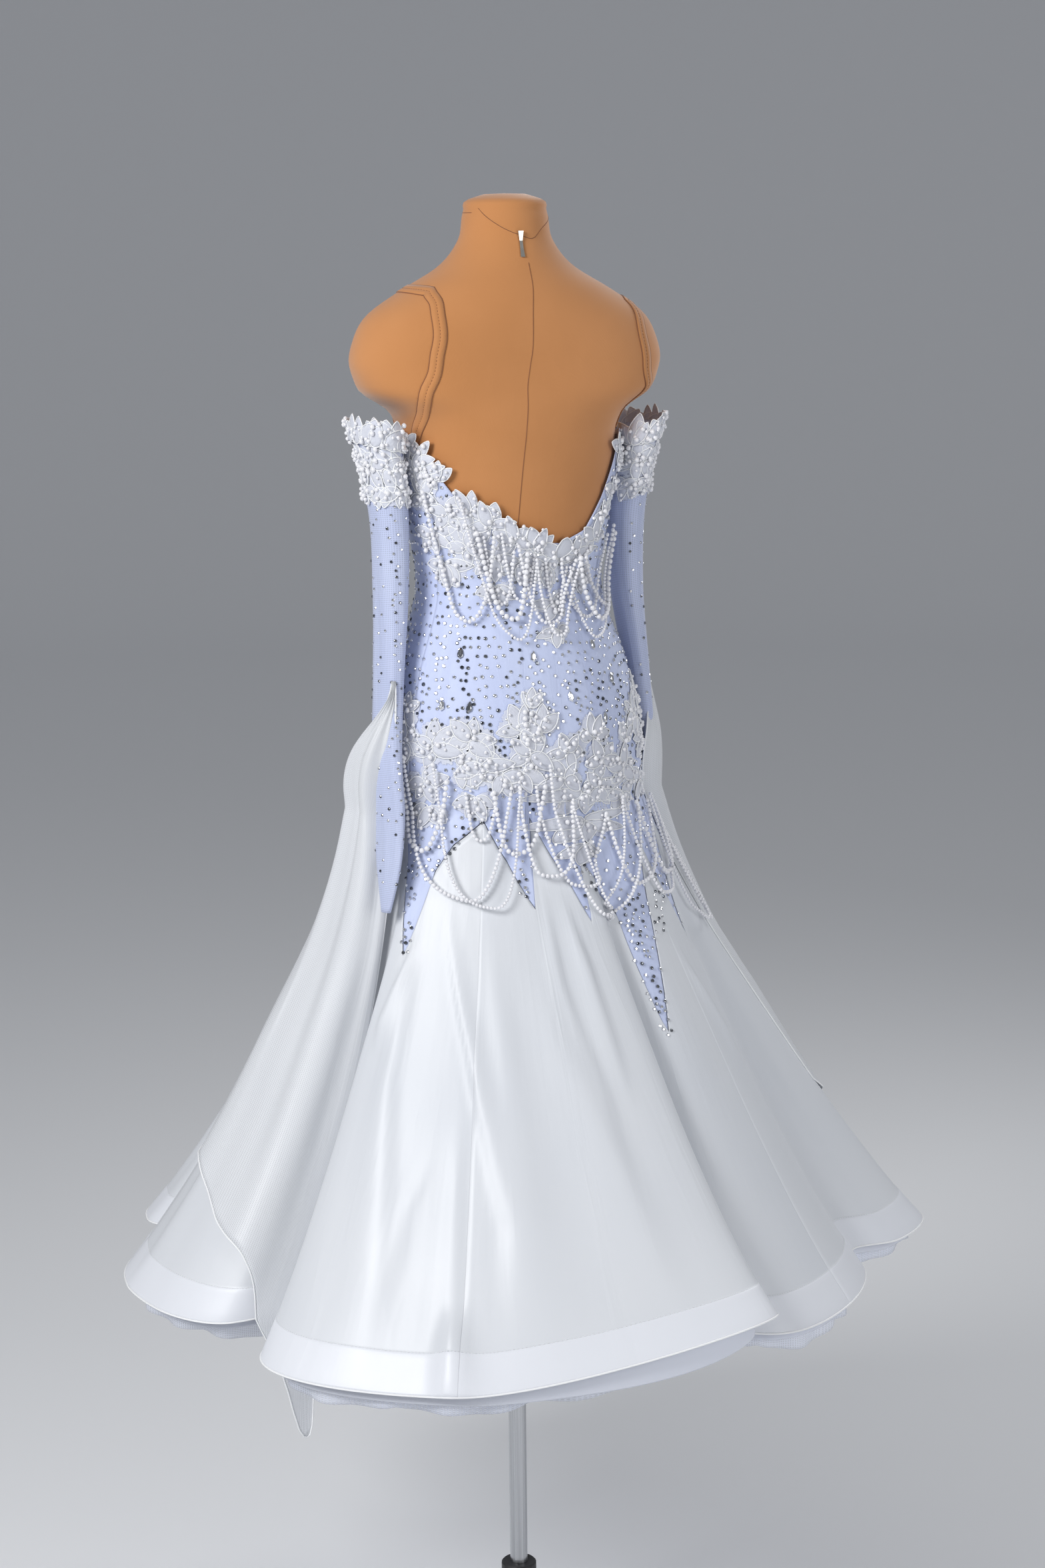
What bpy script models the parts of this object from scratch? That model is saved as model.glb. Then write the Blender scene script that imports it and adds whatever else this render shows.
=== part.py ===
"""Ballroom dance dress on its limbless dress form, at real size.

Metres, +Z up. The wearer's front faces -Y and the wearer's left is +X. The origin is the centre of the
base plate's underside. Angles are in degrees round +Z from +X, so that the centre back is at 90.
"""

import math
from collections import namedtuple

import bpy
import numpy as np

# Clearances and walls
SEAM_GAP = 0.0004
YOKE_GAP = 0.0006
LIE_GAP = 0.0005
LACE_GAP = 0.0015
UNDER_GAP = 0.0012
CLOTH_WALL = 0.0015
SATIN_WALL = 0.0012
NET_WALL = 0.0010
LACE_WALL = 0.0015
ORGANZA_WALL = 0.0010
HEM_BAND_PROUD = 0.0008
HEM_BAND_HEIGHT = 0.040

# Heights above the floor
WAIST_Z = 1.483
YOKE_Z = 1.235
HIP_Z = 1.283
FLARE_Z = 1.210
HEM_Z = 0.578
SLEEVE_TOP_Z = 1.680
SLEEVE_TIP_Z = 1.090
FLOAT_TOP_Z = 1.378
FLOAT_TIP_Z = 0.410

# Stand
PLATE_RADIUS = 0.175
PLATE_HEIGHT = 0.012
HUB_RADIUS = 0.024
HUB_TOP_Z = 0.130
POLE_RADIUS = 0.012
STAND_GAP = 0.0003

# Steps of the meshes
FORM_SIDES = 36
FORM_STEP = 0.045
CLOTH_STEP = 0.048
LEAST_STEP = 0.020
SKIRT_ROWS = 7
SLEEVE_SIDES = 18
HEM_TO_YOKE = 9.0
BODY_FOLLOW = 0.35
UNDERSKIRT_EASE = 0.004
UNDERSKIRT_EASE_SLOPE = 0.06
HEM_TO_HIP = 4.0
NET_SCALLOP = 0.010
RIM_TILT = 0.35
LACE_HALF_TURN = 125
SLEEVE_LACE_CELLS = 21
FLOAT_SEAT_TURN = 60
SWAG_BELOW_EDGE = 0.018
HIP_TAPE_Z = 1.292

# Sections of the form: rise above the waist, half width, depth to the front and the back, squareness
Section = namedtuple("Section", "rise half_width front back square")
FORM_SECTIONS = (
    Section(-0.280, 0.165, 0.110, 0.115, 2.0),
    Section(-0.200, 0.168, 0.110, 0.125, 2.0),
    Section(-0.100, 0.150, 0.100, 0.110, 2.0),
    Section(0.000, 0.120, 0.092, 0.090, 2.0),
    Section(0.100, 0.130, 0.105, 0.092, 2.1),
    Section(0.170, 0.141, 0.126, 0.098, 2.2),
    Section(0.205, 0.142, 0.112, 0.101, 2.3),
    Section(0.240, 0.162, 0.104, 0.101, 2.4),
    Section(0.262, 0.193, 0.098, 0.098, 2.5),
    Section(0.283, 0.205, 0.092, 0.095, 2.4),
    Section(0.315, 0.202, 0.088, 0.092, 2.3),
    Section(0.350, 0.182, 0.082, 0.087, 2.1),
    Section(0.378, 0.140, 0.074, 0.080, 2.0),
    Section(0.408, 0.088, 0.062, 0.068, 2.0),
    Section(0.440, 0.061, 0.053, 0.056, 2.0),
    Section(0.476, 0.053, 0.050, 0.051, 2.0),
    Section(0.491, 0.046, 0.044, 0.045, 2.0),
    Section(0.497, 0.026, 0.026, 0.026, 2.0),
)

# How far the bodice's inside stands off the form, by height: it grips at the waist
Stand_off = namedtuple("Stand_off", "height clear")
STAND_OFFS = (
    Stand_off(0.500, 0.0040),
    Stand_off(1.400, 0.0040),
    Stand_off(WAIST_Z, 0.0014),
    Stand_off(1.560, 0.0036),
    Stand_off(1.800, 0.0036),
)

# Lobes of the skirt's hem in plan, anticlockwise: the valley before each lobe, the turn up from it, the
# crest and the turn down. at is an angle in degrees, r a radius and lift a height above the hem line.
Lobe = namedtuple(
    "Lobe",
    "name valley_at valley_r rise_at rise_r crest_at crest_r fall_at fall_r valley_lift crest_lift fall_lift",
)
LOBES = (
    Lobe("back", 22, 0.345, 28, 0.470, 62, 0.493, 112, 0.462, 0.012, -0.004, 0.040),
    Lobe("right", 107, 0.375, 117, 0.450, 134, 0.475, 148, 0.470, 0.010, 0.000, 0.004),
    Lobe("side_right", 156, 0.452, 162, 0.520, 171, 0.575, 181, 0.550, 0.008, 0.004, 0.004),
    Lobe("front_right", 190, 0.420, 197, 0.500, 207, 0.545, 217, 0.512, 0.006, 0.002, 0.004),
    Lobe("front", 226, 0.410, 233, 0.500, 243, 0.540, 252, 0.505, 0.008, -0.002, 0.000),
    Lobe("front_left", 260, 0.420, 267, 0.505, 276, 0.548, 285, 0.515, 0.006, 0.000, 0.002),
    Lobe("side_left", 293, 0.415, 300, 0.515, 314, 0.560, 325, 0.530, 0.010, -0.002, 0.002),
    Lobe("left", 332, 0.445, 337, 0.495, 345, 0.520, 374, 0.448, 0.008, 0.000, 0.000),
)

# How far out towards the hem the skirt has come, by its share of the way down
Flare = namedtuple("Flare", "down out")
FLARES = (
    Flare(0.00, 0.000),
    Flare(0.12, 0.075),
    Flare(0.25, 0.180),
    Flare(0.44, 0.365),
    Flare(0.70, 0.630),
    Flare(0.85, 0.800),
    Flare(0.94, 0.915),
    Flare(1.00, 1.000),
)

# Under layers: how far inside the cloth's surface each one lies, how much shorter its hem's radii are, how
# far its turns draw in to the crests and how low its hem is
Layer = namedtuple("Layer", "name top_z inset crest_less valley_less turn_less draw drop wall")
UNDERSKIRT = Layer("underskirt", YOKE_Z, CLOTH_WALL + UNDER_GAP, 0.033, 0.034, 0.054, 0.35, 0.010, SATIN_WALL)
PETTICOAT = Layer("petticoat_net", 0.860, 0.008, 0.056, 0.062, 0.084, 0.45, 0.020, NET_WALL)

# The yoke's lower edge, by angle round the body: godet tops are high and points are low
Edge = namedtuple("Edge", "at height")
YOKE_EDGE = (
    Edge(-6, 1.060),
    Edge(24, 1.205),
    Edge(40, 1.036),
    Edge(45, 1.140),
    Edge(51, 1.172),
    Edge(63, 1.202),
    Edge(72, 1.152),
    Edge(80, 1.094),
    Edge(82, 1.204),
    Edge(93, 1.120),
    Edge(97, 1.068),
    Edge(99, 1.150),
    Edge(114, 1.078),
    Edge(119, 0.925),
    Edge(128, 1.092),
    Edge(135, 1.160),
    Edge(146, 1.018),
    Edge(158, 1.190),
    Edge(172, 1.070),
    Edge(188, 1.205),
    Edge(208, 1.050),
    Edge(226, 1.205),
    Edge(248, 1.050),
    Edge(264, 1.205),
    Edge(276, 1.000),
    Edge(290, 1.205),
    Edge(312, 1.050),
    Edge(332, 1.205),
)

# The bodice's upper edge, by angle round the body
NECK_EDGE = (
    Edge(-90, 1.610),
    Edge(-62, 1.655),
    Edge(-30, 1.672),
    Edge(0, 1.680),
    Edge(16, 1.684),
    Edge(24, 1.658),
    Edge(34, 1.645),
    Edge(48, 1.605),
    Edge(68, 1.577),
    Edge(78, 1.552),
    Edge(106, 1.545),
    Edge(124, 1.560),
    Edge(137, 1.600),
    Edge(150, 1.665),
    Edge(163, 1.684),
    Edge(180, 1.680),
    Edge(210, 1.672),
    Edge(242, 1.655),
)

# Bodice panels, each with the angle round the body of the seam that it starts at
BODICE_PANELS = (
    ("bodice_side_left", -28),
    ("bodice_back", 26),
    ("bodice_side_right", 154),
    ("bodice_front", 208),
)

# Stations of the sleeves: each one's centre out and back, half widths and the long axis's direction
Station = namedtuple("Station", "height left_out left_back right_out right_back long short turn")
SLEEVE_STATIONS = (
    Station(1.090, 0.2060, 0.100, 0.2320, -0.012, 0.0080, 0.0045, 114),
    Station(1.140, 0.1980, 0.089, 0.2150, -0.012, 0.0200, 0.0070, 114),
    Station(1.200, 0.1900, 0.074, 0.2010, -0.012, 0.0260, 0.0095, 112),
    Station(1.280, 0.1870, 0.056, 0.1920, -0.010, 0.0270, 0.0115, 108),
    Station(1.380, 0.1770, 0.036, 0.1800, -0.008, 0.0280, 0.0150, 104),
    Station(1.480, 0.1668, 0.020, 0.1665, -0.006, 0.0300, 0.0200, 98),
    Station(1.600, 0.1658, 0.010, 0.1660, -0.002, 0.0360, 0.0240, 92),
    Station(1.650, 0.1713, 0.004, 0.1715, 0.000, 0.0500, 0.0260, 90),
    Station(1.680, 0.1763, 0.000, 0.1765, 0.000, 0.0600, 0.0290, 90),
)
SLEEVE_HEIGHTS = (1.09, 1.14, 1.20, 1.28, 1.38, 1.49, 1.60, 1.635, 1.66, 1.68)

# How far a float hangs off the skirt, by height
Hang = namedtuple("Hang", "height clear")
FLOAT_HANGS = (
    Hang(0.400, 0.010),
    Hang(0.580, 0.010),
    Hang(0.900, 0.014),
    Hang(1.020, 0.040),
    Hang(1.150, 0.060),
    Hang(1.280, 0.058),
    Hang(1.400, 0.052),
)

# A float's lower edge, by its share across from the edge in the valley
Tail = namedtuple("Tail", "across height")
FLOAT_TAIL = (
    Tail(0.00, 0.440),
    Tail(0.06, FLOAT_TIP_Z),
    Tail(0.20, 0.580),
    Tail(0.55, 0.700),
    Tail(1.00, 0.800),
)
FLOAT_ROWS = 14
FLOAT_COLUMNS = 8
FLOAT_FOLDS = 2.5
FLOAT_FOLD_DEPTH = 0.006
FLOAT_BLEND = 0.150

# Lace, by angle round the body: heights of its upper and lower line, before its scallops
LACE_STEP = 0.036
NECK_LACE_DEPTH = 0.055
NECK_LACE_SCALLOP = 0.016
NECK_PETAL = 0.014
HIP_LACE_SCALLOP = 0.006
SLEEVE_LACE_DEPTH = 0.055
SLEEVE_PETAL_HEIGHT = 0.014
SLEEVE_PETAL_FLARE = 0.010
Band = namedtuple("Band", "at upper lower")
HIP_BANDS = (
    Band(-20, 1.335, 1.262),
    Band(12, 1.345, 1.255),
    Band(30, 1.350, 1.248),
    Band(46, 1.340, 1.262),
    Band(60, 1.330, 1.232),
    Band(72, 1.322, 1.280),
    Band(84, 1.385, 1.285),
    Band(94, 1.345, 1.262),
    Band(103, 1.340, 1.222),
    Band(112, 1.350, 1.268),
    Band(126, 1.352, 1.262),
    Band(142, 1.350, 1.250),
    Band(160, 1.348, 1.262),
    Band(200, 1.335, 1.262),
)

# Pearl loops: angles of the points they hang from, and the lowest points of the deep loops between them
Swag = namedtuple("Swag", "at drop_to")
NECK_SWAGS = (
    Swag(26, 1.462),
    Swag(48, 1.440),
    Swag(68, 1.430),
    Swag(88, 1.432),
    Swag(108, 1.438),
    Swag(130, 1.456),
    Swag(152, 0.0),
)
HIP_SWAGS = (
    Swag(38, 1.098),
    Swag(58, 1.092),
    Swag(77, 1.118),
    Swag(94, 1.095),
    Swag(112, 1.088),
    Swag(130, 1.090),
    Swag(148, 0.0),
)

# The zip's slider, from its tab's lower end up to its body
Ring = namedtuple("Ring", "height half_width deep")
SLIDER_RINGS = (
    Ring(1.902, 0.0028, 0.0012),
    Ring(1.912, 0.0022, 0.0012),
    Ring(1.922, 0.0020, 0.0014),
    Ring(1.934, 0.0034, 0.0032),
)

# The tape that the pearls hang from
TAPE_HEIGHT = 0.006
TAPE_WALL = 0.0012
TAPE_CELL = 0.008
STRAND_RINGS = 7
STRAND_OUT = 0.008
STRAND_FULLNESS = 2.6
# Each span's loops from the deepest: radius of the string of pearls and how much higher its lowest point is
Strand = namedtuple("Strand", "radius higher")
STRANDS = (Strand(0.0021, 0.0), Strand(0.0030, 0.026))

# Colours
SATIN_WHITE = (0.93, 0.94, 0.95)
ORGANZA_WHITE = (0.94, 0.95, 0.96)
LILAC = (0.62, 0.67, 0.86)
NET_BLUE = (0.66, 0.70, 0.90)
LACE_WHITE = (0.92, 0.92, 0.93)
PEARL_WHITE = (0.90, 0.89, 0.88)
FORM_TAN = (0.52, 0.26, 0.11)
STEEL = (0.62, 0.62, 0.63)
BASE_BLACK = (0.02, 0.02, 0.02)


def clear_scene():
    """Removes what the startup file holds."""
    for obj in list(bpy.data.objects):
        bpy.data.objects.remove(obj)


def column(rows, name):
    """One named column of a table, as an array."""
    return np.array([getattr(row, name) for row in rows], float)


def smooth(x, xs, ys):
    """A cubic curve through the points (xs, ys), level beyond its ends."""
    x = np.clip(x, xs[0], xs[-1])
    slopes = np.gradient(ys, xs)
    i = np.clip(np.searchsorted(xs, x) - 1, 0, len(xs) - 2)
    step = xs[i + 1] - xs[i]
    t = (x - xs[i]) / step
    return (
        (2 * t**3 - 3 * t**2 + 1) * ys[i]
        + (t**3 - 2 * t**2 + t) * step * slopes[i]
        + (3 * t**2 - 2 * t**3) * ys[i + 1]
        + (t**3 - t**2) * step * slopes[i + 1]
    )


def round_table(rows, x):
    """A table of heights by angle, read at the angles x, that closes on itself after a full turn."""
    at, height = column(rows, "at"), column(rows, "height")
    turn = (np.asarray(x) - at[0]) % 360 + at[0]
    return np.interp(turn, np.append(at, at[0] + 360), np.append(height, height[0]))


def section_point(angle, height, grow):
    """A point round the form's section at a height, moved out by grow: an ellipse with squarer corners."""
    rise = column(FORM_SECTIONS, "rise")
    half_width, front, back, square = (
        smooth(height - WAIST_Z, rise, column(FORM_SECTIONS, name))
        for name in ("half_width", "front", "back", "square")
    )
    c, s = np.cos(np.radians(angle)), np.sin(np.radians(angle))
    depth = np.where(s > 0, back, front)
    x = (half_width + grow) * np.sign(c) * np.abs(c) ** (2 / square)
    y = (depth + grow) * np.sign(s) * np.abs(s) ** (2 / square)
    return np.stack(np.broadcast_arrays(x, y, height), -1)


class Hem:
    """A closed hem line through the turns of the lobes, measured along its chords."""

    PARTS = ("valley", "rise", "crest", "fall")

    def __init__(self, layer=None):
        at = np.array([[getattr(lobe, part + "_at") for part in self.PARTS] for lobe in LOBES], float)
        r = np.array([[getattr(lobe, part + "_r") for part in self.PARTS] for lobe in LOBES], float)
        lift = np.array(
            [[lobe.valley_lift, lobe.crest_lift, lobe.crest_lift, lobe.fall_lift] for lobe in LOBES], float
        )
        self.at, self.lift = at.ravel(), lift.ravel()
        self.places = self.along(self.at, r.ravel())
        self.length = self.places[-1]
        share = self.places[:-1] / self.length * 360
        spread = self.at - share
        self.body_at = share + spread.mean() + BODY_FOLLOW * (spread - spread.mean())
        if layer:
            inward = np.tile([1.0, 0.0, 0.0, 0.0], len(LOBES))
            crests = np.tile([0.0, 0.0, 1.0, 0.0], len(LOBES))
            turns = 1 - inward - crests
            crest_at = np.repeat(at[:, 2], 4)
            r = r.ravel() - inward * layer.valley_less - crests * layer.crest_less - turns * layer.turn_less
            self.at = self.at + turns * layer.draw * (crest_at - self.at)
            self.lift = self.lift - layer.drop
            self.r = r
        else:
            self.r = r.ravel()

    @staticmethod
    def along(at, r):
        """The distance along the chords from knot to knot, once round."""
        x, y = r * np.cos(np.radians(at)), r * np.sin(np.radians(at))
        return np.concatenate([[0], np.cumsum(np.hypot(np.roll(x, -1) - x, np.roll(y, -1) - y))])

    def read(self, values, place, turn=0.0):
        """A knot value read at places along the hem, where turn is what it gains in a full round."""
        reach = 4
        xs, ys = self.places[:-1], values
        xs = np.concatenate([xs[-reach:] - self.length, xs, xs[:reach] + self.length])
        ys = np.concatenate([ys[-reach:] - turn, ys, ys[:reach] + turn])
        rounds = np.floor(np.asarray(place, float) / self.length)
        return smooth(place - rounds * self.length, xs, ys) + rounds * turn

    def body_angle(self, place):
        return self.read(self.body_at, place, 360.0)

    def point(self, place):
        """The hem's x, y and lift at places along it."""
        a = np.radians(self.at)
        return [self.read(v, place) for v in (self.r * np.cos(a), self.r * np.sin(a), self.lift)]


OUTER_HEM = Hem()
UNDER_HEM = Hem(UNDERSKIRT)
NET_HEM = Hem(PETTICOAT)


def place_of(angle):
    """Where along the hem the column stands that meets the body at an angle."""
    places = np.linspace(-OUTER_HEM.length, 2 * OUTER_HEM.length, 6001)
    return np.interp(angle, OUTER_HEM.body_angle(places), places)


def cloth(place, height, hem=OUTER_HEM, inset=0.0):
    """The dress's outer surface at places along the hem and heights before any lift, as points."""
    place, height = np.broadcast_arrays(np.asarray(place, float), np.asarray(height, float))
    clear = smooth(height, column(STAND_OFFS, "height"), column(STAND_OFFS, "clear"))
    angle = OUTER_HEM.body_angle(place)
    body = section_point(angle, np.maximum(height, HIP_Z), clear + CLOTH_WALL - inset)
    down = np.maximum(FLARE_Z - height, 0) / (FLARE_Z - HEM_Z)
    out = smooth(down, column(FLARES, "down"), column(FLARES, "out"))
    x, y, lift = hem.point(place)
    return np.stack(
        [
            body[..., 0] * (1 - out) + x * out,
            body[..., 1] * (1 - out) + y * out,
            height + lift * np.minimum(down, 1.0) ** 3,
        ],
        -1,
    )


def normal_of(surface, place, height):
    """The outward normals of a surface of place and height, from its slopes."""
    step = 0.0008
    across = surface(place + step, height) - surface(place - step, height)
    up = surface(place, height + step) - surface(place, height - step)
    normal = np.cross(across, up)
    return normal / np.linalg.norm(normal, axis=-1, keepdims=True)


def make_object(name, vertices, faces, colour, roughness=0.6, metallic=0.0):
    """A named, smooth-shaded mesh object with a material of its own."""
    mesh = bpy.data.meshes.new(name)
    mesh.from_pydata([tuple(map(float, v)) for v in vertices], [], [tuple(map(int, f)) for f in faces])
    mesh.shade_smooth()
    mesh.set_sharp_from_angle(angle=math.radians(50))
    obj = bpy.data.objects.new(name, mesh)
    bpy.context.scene.collection.objects.link(obj)
    material = bpy.data.materials.new(name)
    material.use_nodes = True
    shader = material.node_tree.nodes["Principled BSDF"]
    shader.inputs["Base Color"].default_value = (*colour, 1.0)
    shader.inputs["Roughness"].default_value = roughness
    shader.inputs["Metallic"].default_value = metallic
    mesh.materials.append(material)
    return obj


def wall(name, outer, faces, normals, thickness, colour, roughness=0.6):
    """A closed wall: the outer points, the same points moved in, and a strip round every open edge."""
    outer, normals = outer.reshape(-1, 3), normals.reshape(-1, 3)
    count = len(outer)
    edges = {(face[i], face[(i + 1) % len(face)]) for face in faces for i in range(len(face))}
    rims = [(b, a, a + count, b + count) for a, b in edges if (b, a) not in edges]
    inner = [tuple(i + count for i in (face[0], *reversed(face[1:]))) for face in faces]
    points = np.concatenate([outer, outer - normals * thickness])
    used = sorted({i for face in faces for i in face})
    used = used + [i + count for i in used]
    index = {old: new for new, old in enumerate(used)}
    whole = [tuple(index[i] for i in face) for face in list(faces) + inner + sorted(rims)]
    return make_object(name, points[used], whole, colour, roughness)


def grid_faces(rows, columns, closed=False, gaps=()):
    """Quads of a grid whose rows go up and whose columns go anticlockwise, but for the cells at gaps."""
    faces = []
    for r in range(rows - 1):
        for c in range(columns if closed else columns - 1):
            if (r, c) not in gaps:
                d = (c + 1) % columns
                faces.append((r * columns + c, r * columns + d, (r + 1) * columns + d, (r + 1) * columns + c))
    return faces


def lofted(name, rings, colour, roughness=0.6, metallic=0.0):
    """A closed solid through rings of points, bottom first, with a flat end at each."""
    rings = np.asarray(rings)
    rows, sides = rings.shape[:2]
    faces = grid_faces(rows, sides, closed=True)
    faces.append(tuple(reversed(range(sides))))
    faces.append(tuple(range((rows - 1) * sides, rows * sides)))
    return make_object(name, rings.reshape(-1, 3), faces, colour, roughness, metallic)


def turned(name, profile, sides, colour, roughness=0.4, metallic=0.0):
    """A solid turned about the axis from (radius, height) pairs that go up its outside."""
    angle = np.radians(np.arange(sides) * 360 / sides)
    rings = [np.stack([r * np.cos(angle), r * np.sin(angle), np.full(sides, z)], -1) for r, z in profile]
    return lofted(name, rings, colour, roughness, metallic)


def cloth_columns():
    """Places of the columns: every turn of the hem and of the yoke's edge, and steps between them."""
    seams = list(OUTER_HEM.places[2:-1:4])
    edges = place_of(column(YOKE_EDGE, "at")) % OUTER_HEM.length
    wanted = [(p, 2) for p in seams] + [(p, 1) for p in edges] + [(p, 0) for p in OUTER_HEM.places[:-1]]
    kept = []
    for place, _ in sorted(wanted, key=lambda item: -item[1]):
        if all(abs(place - other) > LEAST_STEP for other in kept):
            kept.append(place)
    kept = np.sort(kept)
    kept = np.append(kept, kept[0] + OUTER_HEM.length)
    steps = [
        np.linspace(a, b, max(1, round((b - a) / CLOTH_STEP)), endpoint=False) for a, b in zip(kept, kept[1:])
    ]
    return np.concatenate(steps), seams


COLUMNS, SEAMS = cloth_columns()


def nearest_column(angle):
    """The first column at or after the place that meets the body at an angle."""
    return COLUMNS[np.argmin((COLUMNS - place_of(angle)) % OUTER_HEM.length)]


def yoke_edge(place):
    """The height of the yoke's lower edge at places along the hem."""
    return round_table(YOKE_EDGE, OUTER_HEM.body_angle(place))


def edge_gap(place):
    """Half the seam gap, measured up and down, so that a steep edge keeps its gap across the seam."""
    step = 0.003
    slopes = [np.abs(yoke_edge(place + side * step) - yoke_edge(place)) / step for side in (-1, 1)]
    return 0.5 * YOKE_GAP * np.sqrt(1 + (HEM_TO_YOKE * np.maximum(*slopes)) ** 2)


def columns_between(start, end):
    """The column places from start to end, which are both columns."""
    turns = np.concatenate([COLUMNS - OUTER_HEM.length, COLUMNS, COLUMNS + OUTER_HEM.length])
    return turns[(turns > start - 1e-6) & (turns < end + 1e-6)]


def panel_points(places, heights):
    """Points and normals of a panel, its two side columns moved in by half the seam gap."""
    places = np.array(np.broadcast_to(places, heights.shape))
    step = 0.001
    for edge, side in ((0, 1), (-1, -1)):
        place, height = places[:, edge], heights[:, edge]
        reach = np.linalg.norm(cloth(place + step, height) - cloth(place - step, height), axis=-1)
        places[:, edge] += side * SEAM_GAP * step / reach
    return cloth(places, heights), normal_of(cloth, places, heights)


def build_skirt_panels():
    """Eight godet panels from the yoke's edge to the hem, each with a raised horsehair band at its hem."""
    starts = SEAMS
    ends = SEAMS[1:] + [SEAMS[0] + OUTER_HEM.length]
    band_z = HEM_Z + HEM_BAND_HEIGHT
    for number, (start, end) in enumerate(zip(starts, ends), 1):
        places = columns_between(start, end)
        top = yoke_edge(places) - edge_gap(places)
        shares = np.linspace(0, 1, SKIRT_ROWS)[:, None]
        heights = np.concatenate([np.full((2, len(places)), HEM_Z), band_z + shares * (top - band_z)])
        heights[1] = band_z - 0.002
        points, normals = panel_points(places, heights)
        proud = np.zeros(len(heights))
        proud[:2] = HEM_BAND_PROUD
        inner = points - normals * SATIN_WALL
        points = points + normals * proud[:, None, None]
        faces = grid_faces(*heights.shape)
        thickness = np.linalg.norm(points - inner, axis=-1)[..., None].reshape(-1, 1)
        wall(f"skirt_panel_{number}", points, faces, normals, thickness, SATIN_WHITE, 0.35)


def bodice_grid(places):
    """Faces and heights of a bodice panel: all columns below the yoke line and every second one above."""
    low = yoke_edge(places) + edge_gap(places)
    top = round_table(NECK_EDGE, OUTER_HEM.body_angle(places))
    fine = [low, 0.5 * (low + FLARE_Z), np.full(len(places), FLARE_Z)]
    levels = [np.full(len(places), z) for z in (YOKE_Z, 1.29, 1.355, 1.42, WAIST_Z)]
    upper = [WAIST_Z + share * (top - WAIST_Z) for share in (0.25, 0.50, 0.76, 1.0)]
    heights = np.stack(fine + levels + upper)
    count = len(places)
    faces = grid_faces(len(fine), count)
    kept = list(range(0, count - 1, 2)) + [count - 1]
    base = (len(fine) - 1) * count
    for a, b in zip(kept, kept[1:]):
        low_side = list(range(base + a, base + b + 1))
        faces += [(i, i + 1, base + count + a) for i in low_side[:-2]]
        faces.append((low_side[-2], low_side[-1], base + count + b))
        faces.append((low_side[-2], base + count + b, base + count + a))
        for r in range(len(fine), len(heights) - 1):
            row = r * count
            faces.append((row + a, row + b, row + count + b, row + count + a))
    return heights, faces


def build_bodice():
    """Four panels of the bodice and yoke, cut in points at the bottom."""
    seams = [nearest_column(start) for _, start in BODICE_PANELS]
    for index, (name, _) in enumerate(BODICE_PANELS):
        start, end = seams[index], seams[(index + 1) % len(seams)]
        end += OUTER_HEM.length * (end < start)
        places = columns_between(start, end)
        heights, faces = bodice_grid(places)
        points, normals = panel_points(places, heights)
        wall(name, points, faces, normals, CLOTH_WALL, LILAC)


def under_surface(place, height):
    """The underskirt's outer surface: close inside the yoke at its top, and free below it."""
    ease = np.clip((UNDERSKIRT.top_z - np.asarray(height)) * UNDERSKIRT_EASE_SLOPE, 0, UNDERSKIRT_EASE)
    return cloth(place, height, UNDER_HEM, UNDERSKIRT.inset + ease)


def net_surface(place, height):
    """The petticoat's outer surface: on the underskirt's inside at its top, and drawn in at its hem."""
    place, height = np.broadcast_arrays(np.asarray(place, float), np.asarray(height, float))
    seat = under_surface(place, height)
    seat = seat - normal_of(under_surface, place, height) * (SATIN_WALL + SEAM_GAP)
    free = cloth(place, height, NET_HEM, PETTICOAT.inset)
    share = np.clip((PETTICOAT.top_z - height) / (PETTICOAT.top_z - HEM_Z), 0, 1)[..., None]
    return seat * (1 - share) + free * share


def build_under_layers():
    """The satin underskirt and the stiff net petticoat, whole rounds with the skirt's own folds."""
    places = COLUMNS[::2]
    net_levels = (HEM_Z, HEM_Z + HEM_BAND_HEIGHT, 0.72, PETTICOAT.top_z)
    under_levels = net_levels + (1.02, 1.13, FLARE_Z, UNDERSKIRT.top_z)
    for layer, surface, levels, colour in (
        (UNDERSKIRT, under_surface, under_levels, SATIN_WHITE),
        (PETTICOAT, net_surface, net_levels, NET_BLUE),
    ):
        heights = np.repeat(np.array(levels)[:, None], len(places), 1)
        points, normals = surface(places, heights), normal_of(surface, places, heights)
        if layer is PETTICOAT:
            points[0, ::2, 2] -= NET_SCALLOP
        wall(layer.name, points, grid_faces(*heights.shape, closed=True), normals, layer.wall, colour)


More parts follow.
